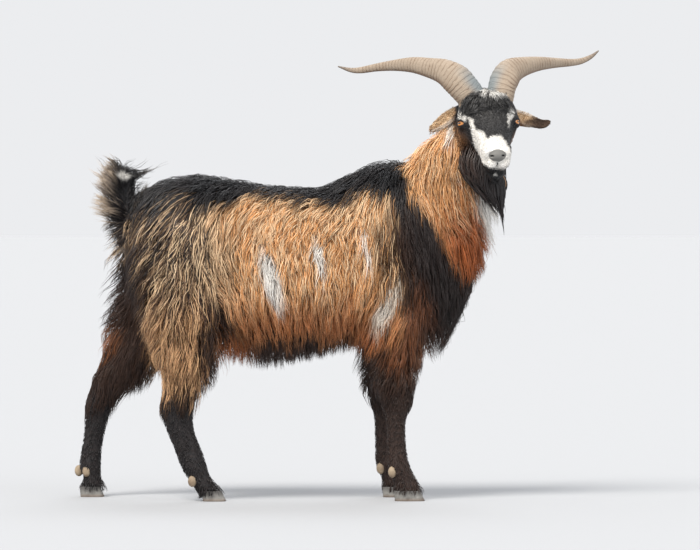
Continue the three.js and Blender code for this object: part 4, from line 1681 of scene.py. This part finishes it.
        # share runs from root to tip; the material darkens the root end as painted shade
        share, warm = np.append(np.repeat(t, 3), 1.0), self.marks.warm(at, luck, part)[:, None]
        colours = {"marks": pattern.reshape(-1, 4), "hair": columns(tone_and_painted_shade, share, warm, 1.0).reshape(-1, 4)}
        spread = columns(np.append(np.tile([-0.5, 0.5, 0.0], rings), 0.0),
                         np.append(np.repeat(np.linspace(-0.5, 0.4, rings), 3), 0.5))
        places = self.unwrap.spot(hair.ground.place)[:, None] + spread * self.patch_size
        dress(make_mesh(name, vertices, faces, colours, places.reshape(-1, 2)), self.material, slot, *nodes)
        LOG.info("%s: %d tufts, %d triangles", name, number, number * (rings * 6 - 2))


# ---- the pieces


@dataclass
class Hide:
    """The one skin under the coat."""

    body: Body
    marks: Markings
    finish: CoatFinish

    def build(self) -> None:
        """Makes the skin, and measures its faces for the roots."""
        vertices, faces = self.body.skin.surface()
        out = self.body.skin.slope(vertices, 3.0)
        part = sort_parts(vertices)
        luck = np.clip(0.5 + 0.4 * wander(vertices, 9, 21), 0, 1)
        colours = np.zeros((len(vertices), 4))
        warm = np.zeros(len(vertices))
        for kind in Part:
            mine = part == kind.value
            colours[mine] = self.marks.read(vertices[mine], luck[mine], kind)
            warm[mine] = self.marks.warm(vertices[mine], luck[mine], kind)
        pad, bare = self.marks.pad(to_head(vertices)), self.marks.bare(vertices)
        # bare skin takes no markings and stays dark; in the nostrils this dark is painted shade in their slits
        colours *= (1 - bare)[:, None]
        # the second channel is painted shade: haired skin darker than the bare nose pad and eyelids
        tone_and_painted_shade = columns(luck, 0.4 + 0.5 * bare, warm, pad)
        skin = make_mesh("skin", vertices, [faces], {"marks": colours, "hair": tone_and_painted_shade})
        nodes = ["trunk", "neck", "tail", "head", "nose_pad", *(f"ear_{s}" for s in SIDES)]
        nodes += [f"{half}_leg_{end}_{s}" for half in ("upper", "lower") for end in ("fore", "hind") for s in SIDES]
        dress(skin, self.finish.material(), "coat", *nodes)
        LOG.info("skin: %d faces", len(faces))
        self.corner = vertices[faces]
        a, b, c, d = np.moveaxis(self.corner, 1, 0)
        self.area = 0.5 * np.linalg.norm(np.cross(c - a, d - b), axis=1)
        self.ground = Ground(self.corner.mean(axis=1), unit(out[faces].mean(axis=1)), part[faces[:, 0]])

    def scatter(self, density: Array, rng: Rng) -> Ground:
        """Drops roots on the skin.

        Args:
            density: Roots to each square centimetre, for each face.
            rng: Random numbers.

        Returns:
            The roots.
        """
        number = rng.poisson(self.area / 100 * density)
        face = np.repeat(np.arange(len(number)), number)
        a, b = rng.random((2, len(face), 1))
        c = self.corner[face]
        place = (c[:, 0] * (1 - a) + c[:, 1] * a) * (1 - b) + (c[:, 3] * (1 - a) + c[:, 2] * a) * b
        return Ground(place, self.ground.out[face], self.ground.part[face])


def sort_parts(p: Array) -> Array:
    """Says which kind of ground each point of the skin is.

    Args:
        p: Points on the skin.

    Returns:
        A part's value for each.
    """
    q = to_head(p)
    part = np.full(len(p), Part.BODY.value, dtype="<U5")
    neck = (p[:, 0] > 250) & (p[:, 2] > 640 + 0.4 * (440 - p[:, 0]))
    part[neck] = Part.NECK.value
    part[TAIL.distance(p) < 5] = Part.TAIL.value
    skull = HEAD.distance(q)
    ears = np.minimum(ear_loft(-1.0).distance(q), ear_loft(1.0).distance(q))
    part[((skull < 3) | (FORELOCK.distance(q) < 14)) & (q[:, 0] > -78)] = Part.HEAD.value
    part[ears < 8] = Part.HEAD.value
    shank = np.minimum.reduce([leg.loft(leg.lower).distance(p) for leg in LEGS])
    part[(p[:, 2] < 285) & (shank < 12)] = Part.SHANK.value
    return part


@dataclass
class Fleece:
    """The long coat of the trunk, the neck and the upper legs."""

    coat: Coat
    hide: Hide
    roots_per_cm2: float = 3.9
    shoulder_x: float = 130.0
    elbow_z: float = 430.0
    hip_x: float = -165.0
    rump_z: float = 600.0
    gaskin_z: float = 380.0

    def build(self) -> None:
        """Grows it in pieces of one region each."""
        rng, ground = np.random.default_rng(5), self.hide.ground
        x, y, z = ground.place.T
        hidden = (np.abs(y) < 70) & (z < 560) & (x < 330)
        density = np.where(ground.on(Part.BODY) | ground.on(Part.NECK), self.roots_per_cm2, 0)
        roots = self.hide.scatter(density * np.where(hidden, 0.55, 1.0), rng)
        behind = (roots.place[:, 0] < self.hip_x) & (roots.place[:, 2] > self.gaskin_z)
        self._grow(roots.only(behind), LONG, rng)
        self._grow(roots.only(~behind), FINE, rng)

    def _grow(self, roots: Ground, kind: Tuft, rng: Rng) -> None:
        """Grows one kind of tuft and splits it by region.

        Args:
            roots: The roots.
            kind: The kind of tuft.
            rng: Random numbers.
        """
        _, length, curl = self.coat.comb.read(roots.place)
        hair = self.coat.grow(roots, lambda at: self.coat.comb.read(at)[0], length, curl, kind, rng)
        q = to_head(hair.path)
        free = (HEAD.distance(q) + 30 * (q[..., 0] < -70)).min(axis=1) > 2
        for s in SIDES.values():
            free &= ear_loft(s).distance(q).min(axis=1) > 7
        for name, mine in self.regions(roots).items():
            chosen = mine & free
            if chosen.any():
                part = Part.NECK if name.startswith("neck") else Part.BODY
                width = kind.width * rng.uniform(*kind.widths, chosen.sum())
                self.coat.knit(f"coat_{name}", hair.only(chosen), part, width, rng, "coat")

    def regions(self, roots: Ground) -> dict[str, Array]:
        """Splits the roots by where a groomer would.

        Args:
            roots: The roots.

        Returns:
            Which roots are in each region.
        """
        x, y, z = roots.place.T
        neck, under = roots.on(Part.NECK), roots.out[:, 2] <= -0.55
        fore, hind = ~neck & (x > self.shoulder_x), ~neck & (x < self.hip_x)
        middle = ~neck & ~fore & ~hind
        found = {}
        for name, side in (("right", y < 0), ("left", y >= 0)):
            found[f"neck_{name}"] = neck & side
            found[f"shoulder_{name}"] = fore & side & (z >= self.elbow_z)
            found[f"flank_{name}"] = middle & side & ~under
            found[f"rump_{name}"] = hind & side & (z > self.rump_z)
            found[f"thigh_{name}"] = hind & side & (z > self.gaskin_z) & (z <= self.rump_z)
            found[f"gaskin_{name}"] = hind & side & (z <= self.gaskin_z)
            found[f"forearm_{name}"] = fore & side & (z < self.elbow_z)
        found["belly"] = middle & under
        return found


@dataclass
class ShortCoat:
    """The short, close hair of the face, the ears and the lower legs, with roots to each square centimetre."""

    coat: Coat
    hide: Hide
    face_roots: float = 17.0
    poll_roots: float = 14.0
    shank_roots: float = 6.5

    def build(self) -> None:
        """Grows the face, the poll and the legs."""
        self._face()
        self._poll()
        self._shanks()

    def _face(self) -> None:
        """Covers the head."""
        rng, ground = np.random.default_rng(8), self.hide.ground
        q = to_head(ground.place)
        haired = ground.on(Part.HEAD) & (self.coat.marks.bare(ground.place) <= 0.3)
        density = np.where(haired, self.face_roots + 9 * ramp(q[:, 0], 60, 120), 0) * np.where(on_ear(q), 1.5, 1.0)
        roots = self.hide.scatter(density, rng)
        q = to_head(roots.place)
        ear = on_ear(q)
        jaw = ramp(-q[:, 2], 30, 70) * ramp(110 - q[:, 0], 0, 60)
        length = 8.5 + 15 * jaw + 1.5 * ear - 2.5 * ramp(q[:, 0], 70, 130) + 6 * ramp(q[:, 2], 25, 45) * (q[:, 0] < 50)
        hair = self.coat.grow(roots, face_lie, length, 0.4, SHORT, rng)
        width = 1.5 + 0.7 * jaw - 0.6 * ear - 0.35 * ramp(q[:, 0], 60, 120)
        width = width * rng.uniform(*SHORT.widths, len(width))
        for name, slot, mine in (("coat_ears", "ear", ear), ("coat_face", "face", ~ear)):
            self.coat.knit(name, hair.only(mine), Part.HEAD, width[mine], rng, slot)

    def _poll(self) -> None:
        """Heaps longer hair between the horns, which falls over their bases and the forehead."""
        rng, ground = np.random.default_rng(10), self.hide.ground
        q = to_head(ground.place)
        top = ramp(q[:, 2], 34, 50) * ramp(38 - q[:, 0], 0, 45) * ramp(66 - np.abs(q[:, 1]), 0, 16)
        roots = self.hide.scatter(self.poll_roots * top * ground.on(Part.HEAD), rng)
        length = 16 + 16 * ramp(30 - to_head(roots.place)[:, 0], 0, 40)
        hair = self.coat.grow(roots, face_lie, length, 1.2, POLL, rng)
        self.coat.knit("coat_poll", hair, Part.HEAD, rng.uniform(*POLL.widths, len(length)), rng, "face")

    def _shanks(self) -> None:
        """Covers the legs below the knees and hocks."""
        rng = np.random.default_rng(9)
        roots = self.hide.scatter(self.shank_roots * self.hide.ground.on(Part.SHANK), rng)
        x, _, high = roots.place.T
        length = 10 + 13 * ramp(high, 190, 290) + 24 * ramp(62 - high, 0, 34)
        hair = self.coat.grow(roots, shank_lie, length, 0.6, SHANK, rng)
        width = rng.uniform(*SHANK.widths, len(high))
        for end, mine in (("fore", x > 0), ("hind", x <= 0)):
            self.coat.knit(f"coat_shanks_{end}", hair.only(mine), Part.SHANK, width[mine], rng, "dark_coat")


def on_ear(q: Array) -> Array:
    """Says which points of the head's frame are on an ear."""
    return (np.abs(q[:, 1]) > 72) & (q[:, 0] < -46)


def face_lie(p: Array) -> Array:
    """Gives the lie of the face's hair: back from the nose, out from the brow, down the jaw, along the ears.

    Args:
        p: Points in the goat's axes.

    Returns:
        A direction at each.
    """
    q = to_head(p)
    side = np.sign(q[:, 1])
    jaw = ramp(-q[:, 2], 15, 60)[:, None]
    way = columns(-1.0, 0.25 * side, 0.1) * (1 - jaw) + columns(-0.4, 0.05 * side, -0.9) * jaw
    brow = (ramp(q[:, 2], 25, 45) * ramp(40 - q[:, 0], 0, 40))[:, None]
    radial = unit(columns(np.maximum(q[:, 0] + 48, 12), q[:, 1], -0.2 * np.abs(q[:, 1])))
    way = way * (1 - brow) + radial * brow
    for s, (_, rows) in zip((-1, 1), EARS.values()):
        ear = ((q[:, 1] * s > 70) & (q[:, 0] < -44))[:, None]
        way = np.where(ear, unit(np.array(rows[-1][:3], float) - rows[1][:3]), way)
    return unit(way) @ HEAD_TURN.T


def shank_lie(p: Array) -> Array:
    """Gives the lie of the leg's hair: down, and a little to the rear."""
    return unit(np.tile([-0.16, 0.0, -1.0], (len(p), 1)))


def tail_lie(p: Array) -> Array:
    """Gives the lie of the tail's hair: out from its core, up at the top and down at the foot.

    Args:
        p: Points in the goat's axes.

    Returns:
        A direction at each.
    """
    core = np.interp(p[:, 2], [640, 680, 730, 780, 814], [-398, -416, -428, -434, -437])
    spread = unit(p - columns(core, 0.0, p[:, 2]))
    rise = 0.25 + 0.75 * ramp(p[:, 2], 700, 800)
    rise *= 1 - 0.6 * ramp(p[:, 0] - core, 0, 8) * ramp(p[:, 2], 750, 790)
    droop = 1 - ramp(p[:, 2], 640, 700)
    return unit(spread * [1.3, 0.8, 1.0] + np.array([-0.1, 0, 1.0]) * (rise - 1.1 * droop)[:, None])


@dataclass
class Beard:
    """The beard: long hair that runs down the taper of its own outline."""

    coat: Coat
    number: int = 2600
    fill: float = 0.97

    def build(self) -> None:
        """Grows it from the chin and the throat."""
        rng = np.random.default_rng(12)
        n = self.number
        angle, radius = rng.uniform(0, 2 * math.pi, n), rng.random(n) ** 0.4
        c, s = np.cos(angle)[:, None], np.sin(angle)[:, None]
        across, over = c * radius[:, None], s * radius[:, None]
        front = ((over > -0.1) & (across > -0.12))[:, 0]
        start = np.where(front, rng.uniform(-798, -770, n), rng.uniform(-868, -800, n))
        reach = np.where(rng.random(n) < 0.04, rng.uniform(0.75, 1.0, n), 0.18 + 0.5 * rng.random(n) ** 1.7)
        t = np.linspace(0, 1, STRANDS.joints + 1)
        depth = start[:, None] + ((BEARD.table[-1, 0] - start) * reach)[:, None] * t
        mid_s, mid_o, wide, up, low = BEARD.section(depth)
        across = mid_s + across * wide * self.fill
        over = mid_o + over * np.where(over > 0, up, low) * self.fill
        path = depth[..., None] * BEARD.axis + across[..., None] * BEARD.side + over[..., None] * BEARD.over
        skin = self.coat.body.skin
        root = path[:, 0].copy()
        for _ in range(2):
            root -= skin.slope(root) * np.clip(skin.sample(root) + 2, 0, 60)[:, None]
        path = path + (root - path[:, 0])[:, None] * (1 - t[:, None]) ** 3
        ground = Ground(path[:, 0], unit(c * BEARD.side + s * BEARD.over), np.full(n, Part.BEARD.value))
        hair = self.coat.gather(path, ground, rng.uniform(1, 3, n), radius, STRANDS, rng)
        self.coat.knit("coat_beard", hair, Part.BEARD, rng.uniform(*STRANDS.widths, n), rng, "dark_coat", "beard")


@dataclass
class Tail:
    """The raised tail: a brush of hair that spreads from its core."""

    coat: Coat
    hide: Hide
    roots_per_cm2: float = 15.5

    def build(self) -> None:
        """Grows it."""
        rng = np.random.default_rng(15)
        roots = self.hide.scatter(self.roots_per_cm2 * self.hide.ground.on(Part.TAIL), rng)
        length = 84 + 30 * ramp(roots.place[:, 2], 690, 760)
        hair = self.coat.grow(roots, tail_lie, length, 2.5, BRUSH, rng)
        self.coat.knit("coat_tail", hair, Part.TAIL, rng.uniform(*BRUSH.widths, len(length)), rng, "coat")


@dataclass
class Horns:
    """The two horns, which sweep out and back with ringed, slightly flattened fronts."""

    finish: HornFinish
    sides: int = 40
    steps: int = 14
    ring_gap: float = 11.0
    ring_height: float = 0.013
    keel: float = 0.05
    squareness: float = 2.2
    sunk: float = 22.0

    def build(self) -> None:
        """Makes both horns."""
        material = self.finish.material()
        for name, rows in HORNS.items():
            rings = smooth_rows(rows, self.steps)
            middle = rings[:, :3]
            along = unit(np.gradient(middle, axis=0))
            side = unit(FACING - along * dot(along, FACING))
            over = np.cross(along, side)
            run = np.append(0, np.linalg.norm(np.diff(middle, axis=0), axis=1).cumsum())
            turns = around(self.sides)
            c, s = np.cos(turns), np.sin(turns)
            upper = 1.0 if over[20, 2] > 0 else -1.0
            edge = np.abs(np.mod(turns - math.pi / 2 * upper - 0.35 + math.pi, 2 * math.pi) - math.pi)
            share = (run / run[-1])[:, None]
            swell = np.sin(run[:, None] / self.ring_gap * 2 * math.pi + 1.2 * np.sin(run[:, None] / 31))
            rough = 1 + self.ring_height * swell * ramp(1 - share, 0.1, 0.5) * (0.5 + 0.5 * ramp(run[:, None], 10, 60))
            rough = rough + self.keel * np.exp(-((edge / 0.3) ** 2))[None] * (1 - share)
            squash = squared(c, s, self.squareness)
            across, thick = rings[:, 4:5], rings[:, 3:4]
            surface = (middle[:, None] + side[:, None] * (thick * c * squash * rough)[..., None]
                       + over[:, None] * (across * s * squash * rough)[..., None])
            root = middle[0] - along[0] * self.sunk
            surface = np.concatenate([(surface[:1] - middle[:1, None]) * 0.92 + root, surface])
            vertices, faces = capped(from_head(surface))
            run = np.append(-self.sunk, run)[:, None]
            # the last column marks the underside, which the material darkens partly as painted shade
            grain = columns(np.maximum(run, 0) / 1000, ramp(s * upper, 0.0, 0.75) * ramp(100 - run, 0, 55),
                            ramp(run / run[-1], 0.86, 1.0), ramp(-s * upper, 0.55, 0.98) * ramp(run, 20, 120))
            grain = np.vstack([grain.reshape(-1, 4), [[0, 0, 0, 0], [run[-1, 0] / 1000, 0, 1, 0]]])
            horn = make_mesh(f"horn_{name}_ringed", vertices, faces, {"grain": grain})
            dress(horn, material, "horn", f"horn_{name}")
            LOG.info("horn_%s", name)


@dataclass
class Eyes:
    """Two amber eyes with level pupils."""

    finish: EyeFinish
    rings: int = 40
    sides: int = 48
    cornea: float = 0.045
    cornea_angle: float = 0.62

    def build(self) -> None:
        """Makes both eyeballs."""
        material = self.finish.material()
        for name, s in SIDES.items():
            polar, ball = globe(self.rings, self.sides, 0.02)
            radius = EYE_RADIUS * (1 + self.cornea * np.exp(-((polar / self.cornea_angle) ** 4)))[..., None]
            vertices, faces = capped(from_head((ball * radius)[::-1] @ eye_frame(s).T + eye_centre(s)))
            gaze = ball[::-1].reshape(-1, 3) * [0.5, 0.5, 1] + [0.5, 0.5, 0]
            gaze = np.vstack([gaze, [0.5, 0.5, -1], [0.5, 0.5, 1]])
            gaze = np.hstack([gaze, np.ones((len(gaze), 1))])
            eye = make_mesh(f"eye_{name}_amber", vertices, faces, {"gaze": gaze})
            dress(eye, material, "eye", f"eye_{name}")
            LOG.info("eye_%s", name)


@dataclass
class Hooves:
    """Cloven hooves: two claws and two dewclaws on each foot."""

    finish: HoofFinish
    dew_finish: HoofFinish = HoofFinish("dewclaw_horn", (0.36, 0.28, 0.19), (0.13, 0.08, 0.05), 0.0)
    wide: float = 12.6
    spread: float = 13.6
    squareness: float = 2.3
    sole_ease: float = 0.965
    dew: tuple[float, float, float] = (10.5, 8.5, 14.0)
    dew_spread: float = 16.0
    sides: int = 40

    def build(self) -> None:
        """Makes each foot's claws and dewclaws."""
        materials = {"claw": self.finish.material(), "dewclaw": self.dew_finish.material()}
        for leg in LEGS:
            for k, (place, way) in enumerate((("inner", -leg.side), ("outer", leg.side))):
                middle = leg.side * leg.foot_y
                shapes = {"claw": self._claw(leg, middle + way * self.spread),
                          "dewclaw": self._dewclaw(leg.dew_x[k], middle + way * self.dew_spread, leg.dew_z)}
                for kind, shape in shapes.items():
                    name = f"{kind}_{leg.name}_{place}"
                    dress(make_mesh(f"{name}_horn", *shape), materials[kind], "hoof", name)
        LOG.info("hooves: 8 claws and 8 dewclaws")

    def _claw(self, leg: Leg, y: float) -> Shell:
        """Makes a claw that slopes back from its toe and stands on a flat sole.

        Args:
            leg: Its leg.
            y: Its middle, to the left.

        Returns:
            The vertices and the faces.
        """
        c, s = np.cos(around(self.sides)), np.sin(around(self.sides))
        size = squared(c, s, self.squareness)
        rings = []
        for z, share in ((0, 0.0), (0.5, 0.0), (5, 0.2), (12, 0.48), (19, 0.76), (24, 0.98), (25, 1.0)):
            ease = self.sole_ease if z == 0 else 1.0
            reach = np.where(c > 0, (leg.hoof_front - 6 * share) * ease, (leg.hoof_back - 3 * share) * ease)
            rings.append(columns(leg.hoof_x - 5 * share + reach * c * size,
                                 y + (self.wide - share) * ease * s * size, z))
        return capped(np.stack(rings))

    def _dewclaw(self, x: float, y: float, z: float) -> Shell:
        """Makes a small blunt claw around a middle."""
        return capped((globe(18, 24, 0.05)[1] * self.dew + [x, y, z])[::-1])


@dataclass
class Studio:
    """A pale floor, soft light and a long-lens camera a little above the goat's middle."""

    rise: float = 1.5
    lens: float = 419.8
    floor_half: float = 30000.0

    def build(self) -> None:
        """Places everything."""
        self._camera()
        self._floor()
        self._light("key", (-2.4, -4.4, 6.4), 26.0, 3.8, (1.0, 0.965, 0.91))
        self._light("fill", (5.0, -4.5, 3.0), 40.0, 0.6, (0.95, 0.97, 1.0))
        self._light("rim", (1.0, 5.0, 5.5), 30.0, 0.9, (0.95, 0.97, 1.0))
        world = bpy.data.worlds.new("soft_daylight")
        world.use_nodes = True
        sky = world.node_tree.nodes["Background"].inputs
        sky["Color"].default_value, sky["Strength"].default_value = (0.93, 0.94, 0.96, 1), 0.9
        bpy.context.scene.world = world

    def _camera(self) -> None:
        """Stands the camera square to the goat's side."""
        lens = bpy.data.cameras.new("camera")
        lens.lens, lens.sensor_width, lens.clip_end = self.lens, 36.0, 200.0
        camera = bpy.data.objects.new("camera", lens)
        rise = math.radians(self.rise)
        back = np.array([0, -math.cos(rise), math.sin(rise)]) * FAR
        camera.location = (np.array(MIDDLE) - ORIGIN + back) * METRES
        camera.rotation_euler = (math.pi / 2 - rise, 0, 0)
        bpy.context.scene.collection.objects.link(camera)
        bpy.context.scene.camera = camera

    def _floor(self) -> None:
        """Lays the floor."""
        corners = np.array([(-1, -1, 0), (1, -1, 0), (1, 1, 0), (-1, 1, 0)]) * self.floor_half
        floor = make_mesh("floor", corners + ORIGIN, [np.array([[0, 1, 2, 3]])])
        floor.data.materials.append(Paint("pale_floor").finish((0.406, 0.414, 0.428), 0.9, 0.1))

    def _light(self, name: str, place: tuple[float, float, float], spread: float, power: float,
               colour: Colour) -> None:
        """Hangs a far light that faces the goat.

        Args:
            name: Its name.
            place: Which way it stands, from the frame's origin.
            spread: How wide it looks, in degrees; wide is soft.
            power: Its strength.
            colour: Its colour.
        """
        lamp = bpy.data.lights.new(name, "SUN")
        lamp.angle, lamp.energy, lamp.color = math.radians(spread), power, colour
        thing = bpy.data.objects.new(name, lamp)
        thing.location = place
        thing.rotation_euler = (-Vector(place)).to_track_quat("-Z", "Y").to_euler()
        bpy.context.scene.collection.objects.link(thing)


def main() -> None:
    """Builds the model piece by piece and reports each."""
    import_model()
    bpy.context.scene.view_settings.view_transform = "Standard"
    body, marks = Body(), Markings()
    body.build()
    LOG.info("body shaped")
    hide = Hide(body, marks, CoatFinish("hairy_skin", skin=True))
    hide.build()
    coat = Coat(body, marks, Unwrap(), Comb(), CoatFinish("coat_hair").material())
    Fleece(coat, hide).build()
    ShortCoat(coat, hide).build()
    Beard(coat).build()
    Tail(coat, hide).build()
    Horns(HornFinish()).build()
    Eyes(EyeFinish()).build()
    Hooves(HoofFinish()).build()
    Studio().build()


if __name__ == "__main__":
    logging.basicConfig(level=logging.INFO, format="%(name)s: %(message)s")
    main()
